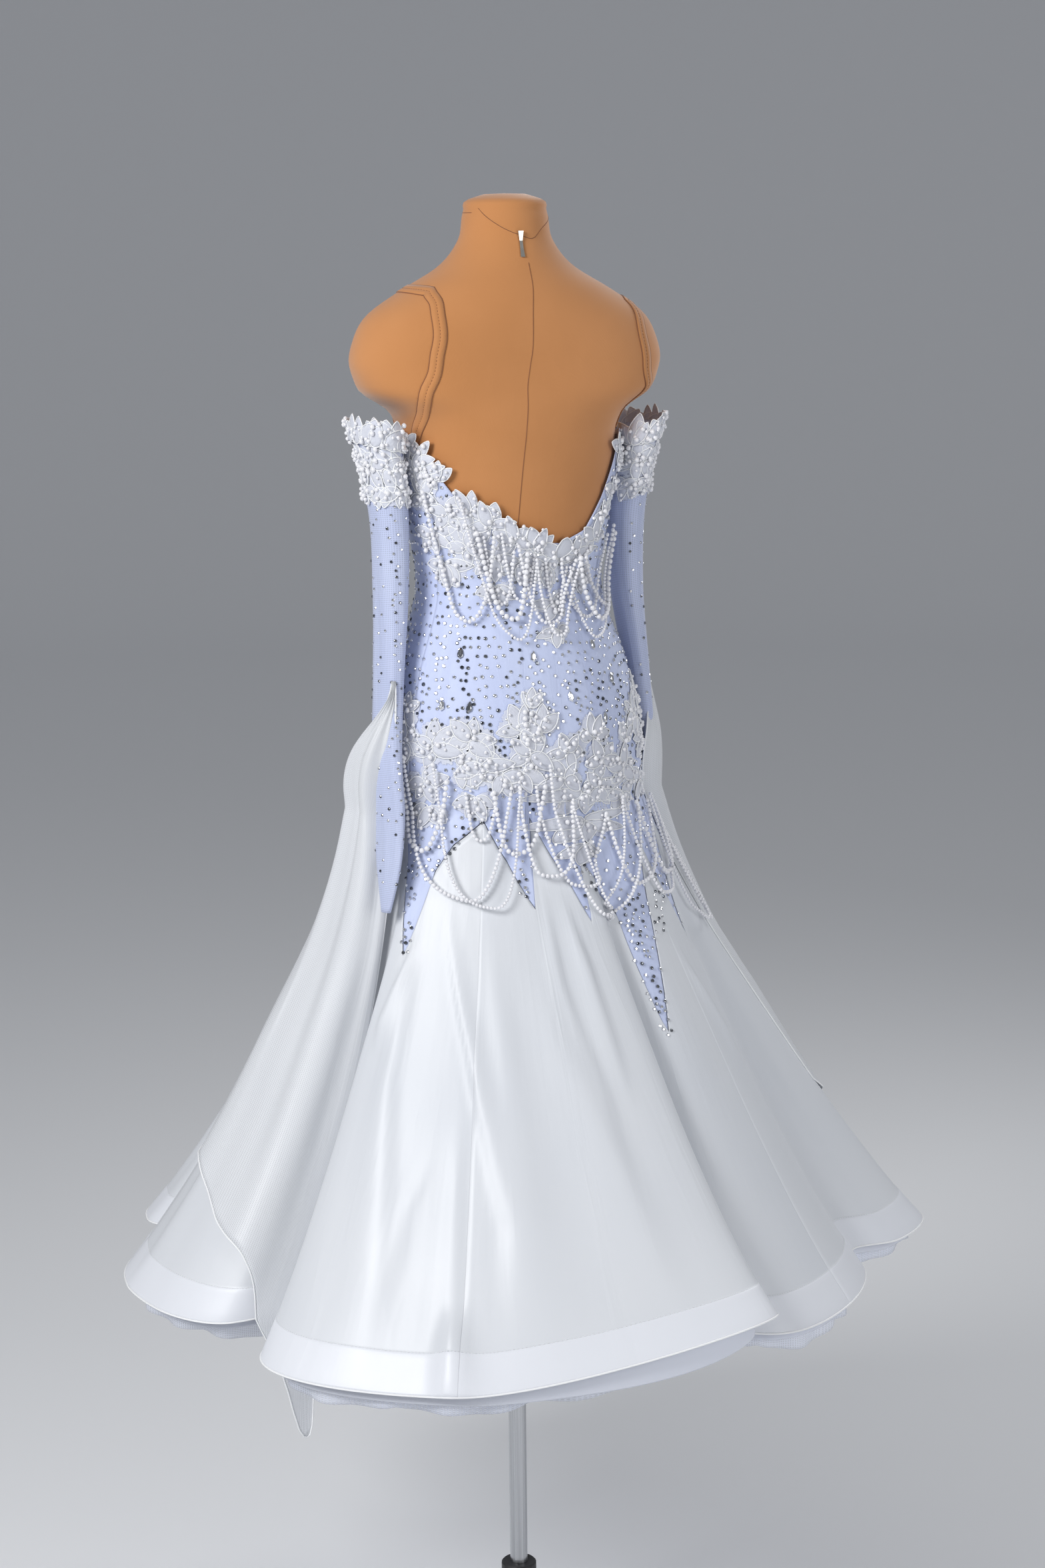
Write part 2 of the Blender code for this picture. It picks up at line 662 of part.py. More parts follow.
class Sleeve:
    """An empty, flattened sleeve beside the body. side is 1 for the wearer's left and -1 for the right."""

    def __init__(self, name, side):
        self.name, self.side = name, side
        rows = {field: column(SLEEVE_STATIONS, field) for field in Station._fields}
        hand = "left" if side > 0 else "right"
        self.height, self.long, self.short = rows["height"], rows["long"], rows["short"]
        self.out, self.back = rows[hand + "_out"], rows[hand + "_back"]
        self.turn = rows["turn"] if side > 0 else np.full(len(SLEEVE_STATIONS), 90.0)

    def surface(self, angle, height):
        """The outer surface at angles round the sleeve, 0 being away from the body, and heights."""
        angle, height = np.broadcast_arrays(np.asarray(angle, float), np.asarray(height, float))
        out, back, long, short, turn = (
            smooth(height, self.height, v) for v in (self.out, self.back, self.long, self.short, self.turn)
        )
        a, t = np.radians(angle), np.radians(turn)
        u, v = long * np.sin(a), short * np.cos(a)
        x = out + u * np.cos(t) + v * np.sin(t)
        y = back + u * np.sin(t) - v * np.cos(t)
        return np.stack([self.side * x, y, height + RIM_TILT * v * np.clip((height - 1.60) / 0.08, 0, 1)], -1)

    def normals(self, angle, height):
        """Outward normals, from the slopes round the sleeve and up it."""
        across = self.surface(angle + 1.0, height) - self.surface(angle - 1.0, height)
        up = self.surface(angle, height + 0.001) - self.surface(angle, height - 0.001)
        normal = np.cross(across, up) * self.side
        return normal / np.linalg.norm(normal, axis=-1, keepdims=True)

    def build(self):
        angles = self.side * np.arange(SLEEVE_SIDES) * 360 / SLEEVE_SIDES
        heights = np.repeat(np.array(SLEEVE_HEIGHTS)[:, None], SLEEVE_SIDES, 1)
        faces = grid_faces(*heights.shape, closed=True)
        wall(self.name, self.surface(angles, heights), faces, self.normals(angles, heights), NET_WALL, LILAC)

    def build_lace(self, name):
        """Petals round the sleeve's top, but for the side next to the body, flaring as they rise."""
        angles = self.side * np.linspace(-LACE_HALF_TURN, LACE_HALF_TURN, SLEEVE_LACE_CELLS + 1)
        petals = np.abs(np.sin(np.arange(SLEEVE_LACE_CELLS + 1) * math.pi / 3)) ** 0.7
        low = SLEEVE_TOP_Z - SLEEVE_LACE_DEPTH - SLEEVE_PETAL_HEIGHT * petals
        heights = np.stack([low, 0.5 * (low + SLEEVE_TOP_Z - 0.004), np.full(len(low), SLEEVE_TOP_Z - 0.004)])
        normals = self.normals(angles, heights)
        points = self.surface(angles, heights) + normals * (LACE_GAP + LACE_WALL)
        tips = points[-1:] + normals[-1:] * (0.002 + SLEEVE_PETAL_FLARE * petals)[None, :, None]
        tips[..., 2] += 0.006 + SLEEVE_PETAL_HEIGHT * petals
        points, normals = np.concatenate([points, tips]), np.concatenate([normals, normals[-1:]])
        gaps = {(2, c) for c in range(1, len(angles), 3)}
        faces = grid_faces(len(points), len(angles), gaps=gaps)
        wall(name, points, faces, normals, LACE_WALL, LACE_WHITE)


def build_float(name, sleeve, first_place, last_place, nearer):
    """An organza panel let into a sleeve from the elbow, gathered there and laid down the skirt to its tip.

    It runs clockwise from first_place to last_place, and hangs nearer to the skirt by a length of its own.
    """
    across = np.linspace(0, 1, FLOAT_COLUMNS)
    lowest = smooth(across, column(FLOAT_TAIL, "across"), column(FLOAT_TAIL, "height"))
    down = np.linspace(1, 0, FLOAT_ROWS)[:, None]
    heights = FLOAT_TOP_Z - down * (FLOAT_TOP_Z - lowest)
    across = np.broadcast_to(across, heights.shape)

    def surface(share, height):
        hang = smooth(height, column(FLOAT_HANGS, "height"), column(FLOAT_HANGS, "clear")) - nearer
        place = first_place + (last_place - first_place) * share
        normal = normal_of(cloth, place, height)
        fold = FLOAT_FOLD_DEPTH * (1 + np.sin(2 * math.pi * FLOAT_FOLDS * share))
        free = cloth(place, height) + normal * (hang + fold)[..., None]
        angle = sleeve.side * (FLOAT_SEAT_TURN - 2 * FLOAT_SEAT_TURN * share)
        seat_height = np.maximum(height, SLEEVE_TIP_Z)
        seat = sleeve.surface(angle, seat_height)
        seat = seat + sleeve.normals(angle, seat_height) * (LIE_GAP + ORGANZA_WALL)
        blend = np.clip((FLOAT_TOP_Z - height) / FLOAT_BLEND, 0, 1)
        blend = (blend * blend * (3 - 2 * blend))[..., None]
        return seat * (1 - blend) + free * blend

    points = surface(across, heights)
    normals = -normal_of(surface, across, heights)
    faces = [tuple(reversed(face)) for face in grid_faces(*heights.shape)]
    wall(name, points, faces, normals, ORGANZA_WALL, ORGANZA_WHITE)


def lace_columns(start_angle, end_angle, step):
    """Places of a lace's columns between two angles round the body, a step of the hem apart."""
    start, end = place_of(np.array([start_angle, end_angle]))
    return np.linspace(start, end, max(2, round((end - start) / step)) + 1)


def lace_on_cloth(name, places, heights, gaps):
    """Lace on the bodice, made from its surface moved out, with the cells at gaps cut through."""
    normals = normal_of(cloth, places, heights)
    points = cloth(places, heights) + normals * (LACE_GAP + LACE_WALL)
    wall(name, points, grid_faces(*heights.shape, gaps=gaps), normals, LACE_WALL, LACE_WHITE)


def build_neckline_lace():
    """Petals on the bodice's upper edge, with cut gaps under every third petal at the back."""
    for name, start, end, step in (
        ("neckline_lace_back", 14, 166, LACE_STEP),
        ("neckline_lace_front", 196, 344, 1.5 * LACE_STEP),
    ):
        back = step == LACE_STEP
        places = lace_columns(start, end, step)
        wave = np.abs(np.sin(np.arange(len(places)) * math.pi / 4)) ** 0.8
        edge = round_table(NECK_EDGE, OUTER_HEM.body_angle(places))
        low = edge - NECK_LACE_DEPTH * (1.0 if back else 0.5) - NECK_LACE_SCALLOP * wave
        heights = np.stack([low, 0.5 * (low + edge), edge - 0.004, edge + 0.004 + NECK_PETAL * wave])
        gaps = {(1, c) for c in range(len(places)) if back and c % 8 in (3, 4)}
        lace_on_cloth(name, places, heights, gaps)


def hip_edges(places):
    """The heights of the hip lace's upper and lower line, before its scallops."""
    angle = OUTER_HEM.body_angle(places)
    turn = (angle - HIP_BANDS[0].at) % 360 + HIP_BANDS[0].at
    return [np.interp(turn, column(HIP_BANDS, "at"), column(HIP_BANDS, side)) for side in ("upper", "lower")]


def build_hip_lace():
    """A band of flower and leaf motifs round the hip, with cut gaps between them at the back."""
    for name, start, end, step in (
        ("hip_lace_back", -18, 198, 1.5 * LACE_STEP),
        ("hip_lace_front", 199, 341, 2.5 * LACE_STEP),
    ):
        places = lace_columns(start, end, step)
        upper, lower = hip_edges(places)
        wave = HIP_LACE_SCALLOP * (-1.0) ** np.arange(len(places))
        upper, lower = upper + wave, lower + wave
        heights = lower + np.array([0.0, 0.36, 0.66, 1.0])[:, None] * (upper - lower)
        gaps = {(1, c) for c in range(len(places)) if start < 0 and c % 4 == 2}
        lace_on_cloth(name, places, heights, gaps)


def strand_path(start, end, lowest, out):
    """Points of a pearl loop between two places on the cloth, and their outward normals."""
    share = np.linspace(0, 1, STRAND_RINGS + 2)[1:-1]
    to_end = np.minimum(share, 1 - share)
    place = start[0] + (end[0] - start[0]) * share
    high = start[1] + (end[1] - start[1]) * share
    height = high - (high - lowest) * (1 - (1 - 2 * to_end) ** STRAND_FULLNESS)
    lift = out + STRAND_OUT * np.minimum(1, 6 * to_end)
    normal = normal_of(cloth, place, height)
    return cloth(place, height) + normal * lift[:, None], normal


def build_swags(name, swags, tape_height_of):
    """Nested loops of pearls between clusters on a narrow tape. Each loop's ends grow out of the tape."""
    cells = 2 * len(STRANDS)
    centres = place_of(column(swags, "at"))
    widths = TAPE_CELL * HEM_TO_HIP
    marks = [centre + (i - cells / 2) * widths for centre in centres for i in range(cells + 1)]
    places = []
    for low, high in zip(marks, marks[1:]):
        count = max(1, round((high - low) / (1.4 * widths)))
        places += list(np.linspace(low, high, count, endpoint=False))
    places = np.array(places + [marks[-1]])
    cell_of = {mark: int(np.argmin(np.abs(places - marks[mark]))) for mark in range(len(marks))}
    upper = tape_height_of(places)
    heights = np.stack([upper - TAPE_HEIGHT, upper])
    normals = normal_of(cloth, places, heights)
    out = LACE_GAP + LACE_WALL + LIE_GAP + TAPE_WALL
    outer = cloth(places, heights) + normals * out
    points = list(outer.reshape(-1, 3)) + list((outer - normals * TAPE_WALL).reshape(-1, 3))
    columns = len(places)
    quads = grid_faces(2, columns)
    faces = [tuple(i + 2 * columns for i in reversed(quad)) for quad in quads]
    edges = {(q[i], q[(i + 1) % 4]) for q in quads for i in range(4)}
    faces += [(b, a, a + 2 * columns, b + 2 * columns) for a, b in sorted(edges) if (b, a) not in edges]
    open_cells = set()
    for span in range(len(swags) - 1):
        for depth, strand in enumerate(STRANDS):
            first = cell_of[span * (cells + 1) + len(STRANDS) + depth]
            last = cell_of[(span + 1) * (cells + 1) + len(STRANDS) - 1 - depth]
            open_cells |= {first, last}
            ends = [
                (0.5 * (places[c] + places[c + 1]), heights[0, c] + 0.5 * TAPE_HEIGHT) for c in (first, last)
            ]
            path, normal = strand_path(*ends, swags[span].drop_to + strand.higher, out)
            tangent = np.gradient(path, axis=0)
            tangent /= np.linalg.norm(tangent, axis=1, keepdims=True)
            side = np.cross(tangent, normal)
            corners = ((1, -1), (-1, -1), (-1, 1), (1, 1))
            rings = [path + strand.radius * (b * side + n * normal) for b, n in corners]
            base = len(points)
            points += list(np.stack(rings, 1).reshape(-1, 3))
            loops = [quads[first]]
            loops += [tuple(base + 4 * r + i for i in range(4)) for r in range(STRAND_RINGS)]
            target = quads[last]
            loops.append(tuple(target[(1 - i) % 4] for i in range(4)))
            for low, high in zip(loops, loops[1:]):
                faces += [(low[i], low[(i + 1) % 4], high[(i + 1) % 4], high[i]) for i in range(4)]
    faces += [quad for cell, quad in enumerate(quads) if cell not in open_cells]
    make_object(name, points, faces, PEARL_WHITE, 0.25)


def build_zip_slider():
    """The slider of the cover's zip, with its tab hanging, on the back of the neck."""
    rings = []
    for ring in SLIDER_RINGS:
        y = section_point(90.0, ring.height, 2 * LIE_GAP)[1]
        low, high = (-ring.half_width, y), (ring.half_width, y + ring.deep)
        corners = ((low[0], low[1]), (high[0], low[1]), (high[0], high[1]), (low[0], high[1]))
        rings.append([(x, y, ring.height) for x, y in corners])
    lofted("zip_slider", rings, STEEL, 0.35, 1.0)


def form_shares(rise):
    """Shares of a step between two sections at which the form has a ring."""
    count = max(1, round(rise / FORM_STEP))
    return np.arange(count) / count


def build_form():
    """The smooth, limbless form, closed at the neck and flat underneath."""
    steps = zip(FORM_SECTIONS, FORM_SECTIONS[1:])
    rises = [a.rise + share * (b.rise - a.rise) for a, b in steps for share in form_shares(b.rise - a.rise)]
    heights = WAIST_Z + np.append(rises, FORM_SECTIONS[-1].rise)
    angle = np.arange(FORM_SIDES) * 360 / FORM_SIDES
    rings = [section_point(angle, np.full(FORM_SIDES, z), 0.0) for z in heights]
    lofted("dress_form", rings, FORM_TAN, 0.85)


def build_stand():
    """Base plate, hub and pole, each on the axis."""
    edge = 0.002
    turned(
        "base_plate",
        [(PLATE_RADIUS - edge, 0), (PLATE_RADIUS, edge), (PLATE_RADIUS, PLATE_HEIGHT - edge),
         (PLATE_RADIUS - edge, PLATE_HEIGHT)],
        48, BASE_BLACK, 0.45,
    )
    hub_low = PLATE_HEIGHT + STAND_GAP
    turned(
        "hub_collar",
        [(HUB_RADIUS * 1.5, hub_low), (HUB_RADIUS * 1.5, hub_low + 0.010), (HUB_RADIUS, hub_low + 0.018),
         (HUB_RADIUS, HUB_TOP_Z - edge), (HUB_RADIUS - edge, HUB_TOP_Z)],
        24, BASE_BLACK, 0.35,
    )
    form_low = WAIST_Z + FORM_SECTIONS[0].rise
    pole = [(POLE_RADIUS, HUB_TOP_Z + STAND_GAP), (POLE_RADIUS, form_low - STAND_GAP)]
    turned("pole", pole, 24, STEEL, 0.3, 1.0)


def main():
    clear_scene()
    build_stand()
    build_form()
    build_zip_slider()
    build_bodice()
    build_skirt_panels()
    build_under_layers()
    left, right = Sleeve("sleeve_left", 1), Sleeve("sleeve_right", -1)
    left.build()
    right.build()
    left.build_lace("sleeve_lace_left")
    right.build_lace("sleeve_lace_right")
    knots = OUTER_HEM.places
    build_float("float_left", left, knots[-1], knots[-3], 0.0011)
    build_float("float_right", right, knots[12], knots[10], -0.0006)
    build_neckline_lace()
    build_hip_lace()
    build_swags(
        "pearl_swags_back", NECK_SWAGS,
        lambda places: round_table(NECK_EDGE, OUTER_HEM.body_angle(places)) - SWAG_BELOW_EDGE,
    )
    build_swags("pearl_swags_hip", HIP_SWAGS, lambda places: np.full(len(places), HIP_TAPE_Z))


if __name__ == "__main__":
    main()
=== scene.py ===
"""Looks of a ballroom dance dress on its dress form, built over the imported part.

Metres, +Z up. The wearer's front faces -Y and the wearer's left is +X. Angles are in degrees round +Z from
+X, so that the centre back is at 90. A place is a distance along the skirt's hem, and every column of the
dress's cloth stands on one. A pixel is a point of the photograph, 1568 wide and 2352 high.
"""

from __future__ import annotations

import logging
import math
from dataclasses import dataclass, field
from enum import Enum
from typing import NamedTuple, Sequence

import bpy
import numpy as np
from mathutils import Matrix, Vector

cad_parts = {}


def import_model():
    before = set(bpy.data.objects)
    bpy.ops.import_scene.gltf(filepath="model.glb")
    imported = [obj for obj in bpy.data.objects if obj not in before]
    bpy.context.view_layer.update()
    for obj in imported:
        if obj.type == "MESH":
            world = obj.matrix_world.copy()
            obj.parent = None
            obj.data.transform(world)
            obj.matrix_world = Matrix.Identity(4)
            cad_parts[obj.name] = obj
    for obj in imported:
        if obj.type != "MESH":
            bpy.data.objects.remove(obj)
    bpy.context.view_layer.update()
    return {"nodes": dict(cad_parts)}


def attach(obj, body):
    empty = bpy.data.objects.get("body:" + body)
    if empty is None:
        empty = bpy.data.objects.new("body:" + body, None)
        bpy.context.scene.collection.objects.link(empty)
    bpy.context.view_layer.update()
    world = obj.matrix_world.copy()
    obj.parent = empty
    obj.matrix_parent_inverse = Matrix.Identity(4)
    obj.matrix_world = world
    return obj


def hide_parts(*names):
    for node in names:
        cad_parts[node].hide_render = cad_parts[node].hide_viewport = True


LOG = logging.getLogger("dress")
Array = np.ndarray
BODY = "root"

WAIST_Z = 1.483
HIP_Z = 1.283
FLARE_Z = 1.210
YOKE_TOP_Z = 1.235
HEM_Z = 0.578
NET_TOP_Z = 0.860


class Section(NamedTuple):
    """One level of the form: rise above the waist, half width, depths and squareness."""

    rise: float
    half_width: float
    front: float
    back: float
    square: float


FORM_SECTIONS = (
    Section(-0.280, 0.165, 0.110, 0.115, 2.0),
    Section(-0.200, 0.168, 0.110, 0.125, 2.0),
    Section(-0.100, 0.150, 0.100, 0.110, 2.0),
    Section(0.000, 0.120, 0.092, 0.090, 2.0),
    Section(0.100, 0.130, 0.105, 0.092, 2.1),
    Section(0.170, 0.141, 0.126, 0.098, 2.2),
    Section(0.205, 0.142, 0.112, 0.101, 2.3),
    Section(0.240, 0.162, 0.104, 0.101, 2.4),
    Section(0.262, 0.193, 0.098, 0.098, 2.5),
    Section(0.283, 0.205, 0.092, 0.095, 2.4),
    Section(0.315, 0.202, 0.088, 0.092, 2.3),
    Section(0.350, 0.182, 0.082, 0.087, 2.1),
    Section(0.378, 0.140, 0.074, 0.080, 2.0),
    Section(0.408, 0.088, 0.062, 0.068, 2.0),
    Section(0.440, 0.061, 0.053, 0.056, 2.0),
    Section(0.476, 0.053, 0.050, 0.051, 2.0),
    Section(0.491, 0.046, 0.044, 0.045, 2.0),
    Section(0.497, 0.026, 0.026, 0.026, 2.0),
)


class Lobe(NamedTuple):
    """One wave of the hem: angles and radii of its valley, rise, crest and fall, and their lifts."""

    valley_at: float
    valley_r: float
    rise_at: float
    rise_r: float
    crest_at: float
    crest_r: float
    fall_at: float
    fall_r: float
    valley_lift: float
    crest_lift: float
    fall_lift: float


LOBES = (
    Lobe(22, 0.345, 28, 0.470, 62, 0.493, 112, 0.462, 0.012, -0.004, 0.040),
    Lobe(107, 0.375, 117, 0.450, 134, 0.475, 148, 0.470, 0.010, 0.000, 0.004),
    Lobe(156, 0.452, 162, 0.520, 171, 0.575, 181, 0.550, 0.008, 0.004, 0.004),
    Lobe(190, 0.420, 197, 0.500, 207, 0.545, 217, 0.512, 0.006, 0.002, 0.004),
    Lobe(226, 0.410, 233, 0.500, 243, 0.540, 252, 0.505, 0.008, -0.002, 0.000),
    Lobe(260, 0.420, 267, 0.505, 276, 0.548, 285, 0.515, 0.006, 0.000, 0.002),
    Lobe(293, 0.415, 300, 0.515, 314, 0.560, 325, 0.530, 0.010, -0.002, 0.002),
    Lobe(332, 0.445, 337, 0.495, 345, 0.520, 374, 0.448, 0.008, 0.000, 0.000),
)
FLARE_DOWN = np.array([0.00, 0.12, 0.25, 0.44, 0.70, 0.85, 0.94, 1.00])
FLARE_OUT = np.array([0.000, 0.075, 0.180, 0.365, 0.630, 0.800, 0.915, 1.000])
STAND_OFF_Z = np.array([0.500, 1.400, WAIST_Z, 1.560, 1.800])
STAND_OFF = np.array([0.0040, 0.0040, 0.0014, 0.0036, 0.0036])


class Edge(NamedTuple):
    """A height of an edge at an angle round the body."""

    at: float
    height: float


YOKE_EDGE = (
    Edge(-6, 1.060), Edge(24, 1.205), Edge(40, 1.036), Edge(45, 1.140), Edge(51, 1.172), Edge(63, 1.202),
    Edge(72, 1.152), Edge(80, 1.094), Edge(82, 1.204), Edge(93, 1.120), Edge(97, 1.068), Edge(99, 1.150),
    Edge(113, 1.078), Edge(117.6, 0.925), Edge(128, 1.092), Edge(135, 1.160), Edge(146, 1.018),
    Edge(158, 1.190), Edge(172, 1.070), Edge(188, 1.205), Edge(208, 1.050), Edge(226, 1.205),
    Edge(248, 1.050), Edge(264, 1.205), Edge(276, 1.000), Edge(290, 1.205), Edge(312, 1.050),
    Edge(332, 1.205),
)
NECK_EDGE = (
    Edge(-90, 1.610), Edge(-62, 1.655), Edge(-30, 1.672), Edge(0, 1.680), Edge(16, 1.684), Edge(24, 1.658),
    Edge(34, 1.645), Edge(48, 1.605), Edge(68, 1.577), Edge(78, 1.552), Edge(106, 1.545), Edge(124, 1.560),
    Edge(137, 1.600), Edge(150, 1.665), Edge(163, 1.684), Edge(180, 1.680), Edge(210, 1.672),
    Edge(242, 1.655),
)


def column(rows: Sequence[NamedTuple], name: str) -> Array:
    """One named column of a table."""
    return np.array([getattr(row, name) for row in rows], float)


def smooth(x: Array, xs: Array, ys: Array) -> Array:
    """A cubic curve through points, level beyond its ends.

    Between two points it is the Hermite cubic of their heights and of their gradients.

    Args:
        x: Where it is read.
        xs: Rising places of the points.
        ys: Their heights.

    Returns:
        The heights at x.
    """
    x = np.clip(x, xs[0], xs[-1])
    slopes = np.gradient(ys, xs)
    i = np.clip(np.searchsorted(xs, x) - 1, 0, len(xs) - 2)
    step = xs[i + 1] - xs[i]
    t = (x - xs[i]) / step
    return (
        (2 * t**3 - 3 * t**2 + 1) * ys[i]
        + (t**3 - 2 * t**2 + t) * step * slopes[i]
        + (3 * t**2 - 2 * t**3) * ys[i + 1]
        + (t**3 - t**2) * step * slopes[i + 1]
    )


def ease(x: Array, low: float, high: float) -> Array:
    """Goes from 0 at low to 1 at high, which may be the smaller, with level ends: 3t² - 2t³."""
    t = np.clip((np.asarray(x, float) - low) / (high - low), 0.0, 1.0)
    return t * t * (3 - 2 * t)


def unit(v: Array) -> Array:
    """Vectors made one long."""
    return v / np.maximum(np.linalg.norm(v, axis=-1, keepdims=True), 1e-12)


def body_section(angle: Array, height: Array, grow: Array | float = 0.0) -> Array:
    """A point round the form: an ellipse of squareness n, half width a and depth b, moved out by grow.

    Args:
        angle: Degrees round the axis.
        height: Metres above the floor.
        grow: How far outside the form.

    Returns:
        Points, with x = a·cos^(2/n) and y = b·sin^(2/n).
    """
    rise = column(FORM_SECTIONS, "rise")
    half_width, front, back, square = (
        smooth(height - WAIST_Z, rise, column(FORM_SECTIONS, name))
        for name in ("half_width", "front", "back", "square")
    )
    c, s = np.cos(np.radians(angle)), np.sin(np.radians(angle))
    depth = np.where(s > 0, back, front)
    x = (half_width + grow) * np.sign(c) * np.abs(c) ** (2 / square)
    y = (depth + grow) * np.sign(s) * np.abs(s) ** (2 / square)
    return np.stack(np.broadcast_arrays(x, y, height), -1)


def round_table(rows: Sequence[Edge], angle: Array) -> Array:
    """Heights of an edge that closes on itself after a full turn, read at angles."""
    at, height = column(rows, "at"), column(rows, "height")
    turn = (np.asarray(angle) - at[0]) % 360 + at[0]
    return np.interp(turn, np.append(at, at[0] + 360), np.append(height, height[0]))


class Surface:
    """A surface of two parameters, u across and v up, that pieces are laid on."""

    u_step: float = 0.001
    v_step: float = 0.001

    def point(self, u: Array, v: Array) -> Array:
        """The points at u and v."""
        raise NotImplementedError

    def normal(self, u: Array, v: Array) -> Array:
        """Outward normals, from the slopes along u and v."""
        across = self.point(u + self.u_step, v) - self.point(u - self.u_step, v)
        up = self.point(u, v + self.v_step) - self.point(u, v - self.v_step)
        return unit(np.cross(across, up))

    def reach(self, u: Array, v: Array) -> tuple[Array, Array]:
        """Metres that one unit of u, and one of v, makes on the surface."""
        across = self.point(u + self.u_step, v) - self.point(u - self.u_step, v)
        up = self.point(u, v + self.v_step) - self.point(u, v - self.v_step)
        return (
            np.linalg.norm(across, axis=-1) / (2 * self.u_step),
            np.linalg.norm(up, axis=-1) / (2 * self.v_step),
        )

    def back_grid(self) -> tuple[Array, Array]:
        """The values of u and v over the side that the photograph shows."""
        raise NotImplementedError

    def off(self, u: Array, v: Array, out: Array | float) -> Array:
        """Points a distance out from the surface."""
        return self.point(u, v) + self.normal(u, v) * np.asarray(out)[..., None]


class FormSurface(Surface):
    """The form's skin. u is an angle in degrees and v a height. Its shoulder caps are full down to their edge."""

    u_step = 0.2
    cap_z = WAIST_Z + 0.247
    cap_reach = 0.014
    cap_more = 0.012

    def point(self, u: Array, v: Array) -> Array:
        """The points at u and v."""
        u, v = np.broadcast_arrays(np.asarray(u, float), np.asarray(v, float))
        side = np.abs(np.cos(np.radians(u))) ** 3
        return body_section(u, v, self.cap_more * side * np.exp(-(((v - self.cap_z) / self.cap_reach) ** 2)))

    def back_grid(self) -> tuple[Array, Array]:
        """The values of u and v over the side that the photograph shows."""
        return np.linspace(-30.0, 210.0, 481), np.linspace(1.50, 1.985, 200)


class Layer(NamedTuple):
    """An under layer: how much shorter its hem's radii are, how far its turns draw in and how low it is."""

    inset: float
    crest_less: float
    valley_less: float
    turn_less: float
    draw: float
    drop: float


OUTER = Layer(0.0, 0.0, 0.0, 0.0, 0.0, 0.0)
UNDERSKIRT = Layer(0.0027, 0.033, 0.034, 0.054, 0.35, 0.010)
PETTICOAT = Layer(0.008, 0.056, 0.062, 0.084, 0.45, 0.020)


class DressSurface(Surface):
    """The outer side of the dress's cloth. u is a place along the hem and v a height.

    Down to the hip it is the form's section moved out. Below, it goes over to the hem's curve, which is a
    smooth closed curve through the valley, rise, crest and fall of each lobe.
    """

    wall = 0.0015
    body_follow = 0.35

    def __init__(self, layer: Layer = OUTER) -> None:
        """Works out the hem's knots.

        Args:
            layer: How this layer differs from the outer skirt.
        """
        self.layer = layer
        parts = ("valley", "rise", "crest", "fall")
        at = np.array([[getattr(lobe, part + "_at") for part in parts] for lobe in LOBES], float)
        r = np.array([[getattr(lobe, part + "_r") for part in parts] for lobe in LOBES], float).ravel()
        lifts = [[row.valley_lift, row.crest_lift, row.crest_lift, row.fall_lift] for row in LOBES]
        x, y = r * np.cos(np.radians(at.ravel())), r * np.sin(np.radians(at.ravel()))
        chords = np.hypot(np.roll(x, -1) - x, np.roll(y, -1) - y)
        self.places = np.concatenate([[0.0], np.cumsum(chords)])
        self.length = self.places[-1]
        spread = at.ravel() - self.places[:-1] / self.length * 360
        self.body_at = at.ravel() - (1 - self.body_follow) * (spread - spread.mean())
        inward = np.tile([1.0, 0.0, 0.0, 0.0], len(LOBES))
        crests = np.tile([0.0, 0.0, 1.0, 0.0], len(LOBES))
        turns = 1 - inward - crests
        self.r = r - inward * layer.valley_less - crests * layer.crest_less - turns * layer.turn_less
        self.at = at.ravel() + turns * layer.draw * (np.repeat(at[:, 2], 4) - at.ravel())
        self.lift = np.array(lifts).ravel() - layer.drop
        self.round = np.linspace(-self.length, 2 * self.length, 6001)

    def read(self, values: Array, place: Array, turn: float = 0.0) -> Array:
        """A knot value at places along the hem, where turn is what it gains in a full round."""
        reach = 4
        knots = self.places[:-1]
        xs = np.concatenate([knots[-reach:] - self.length, knots, knots[:reach] + self.length])
        ys = np.concatenate([values[-reach:] - turn, values, values[:reach] + turn])
        rounds = np.floor(np.asarray(place, float) / self.length)
        return smooth(place - rounds * self.length, xs, ys) + rounds * turn

    def body_angle(self, place: Array) -> Array:
        """The angle round the body at which a place's column meets it."""
        return self.read(self.body_at, place, 360.0)

    def place_of(self, angle: Array | float) -> Array:
        """The place whose column meets the body at an angle."""
        return np.interp(angle, self.body_angle(self.round), self.round)

    def back_grid(self) -> tuple[Array, Array]:
        """The values of u and v over the side that the photograph shows."""
        return np.linspace(self.place_of(-60.0), self.place_of(200.0), 800), np.linspace(0.56, 1.72, 330)

    def neck_edge(self, place: Array) -> Array:
        """The height of the bodice's upper edge."""
        return round_table(NECK_EDGE, self.body_angle(place))

    def yoke_edge(self, place: Array) -> Array:
        """The height of the bodice's lower edge, cut in points."""
        return round_table(YOKE_EDGE, self.body_angle(place))

    def point(self, u: Array, v: Array) -> Array:
        """The points at places u and heights v."""
        place, height = np.broadcast_arrays(np.asarray(u, float), np.asarray(v, float))
        clear = smooth(height, STAND_OFF_Z, STAND_OFF)
        inset = self.layer.inset
        if self.layer is UNDERSKIRT:
            inset = inset + np.clip((YOKE_TOP_Z - height) * 0.06, 0, 0.004)
        body = body_section(self.body_angle(place), np.maximum(height, HIP_Z), clear + self.wall - inset)
        down = np.maximum(FLARE_Z - height, 0) / (FLARE_Z - HEM_Z)
        out = smooth(down, FLARE_DOWN, FLARE_OUT)
        a = np.radians(self.at)
        x, y, lift = (self.read(v, place) for v in (self.r * np.cos(a), self.r * np.sin(a), self.lift))
        return np.stack(
            [
                body[..., 0] * (1 - out) + x * out,
                body[..., 1] * (1 - out) + y * out,
                height + lift * np.minimum(down, 1.0) ** 3,
            ],
            -1,
        )


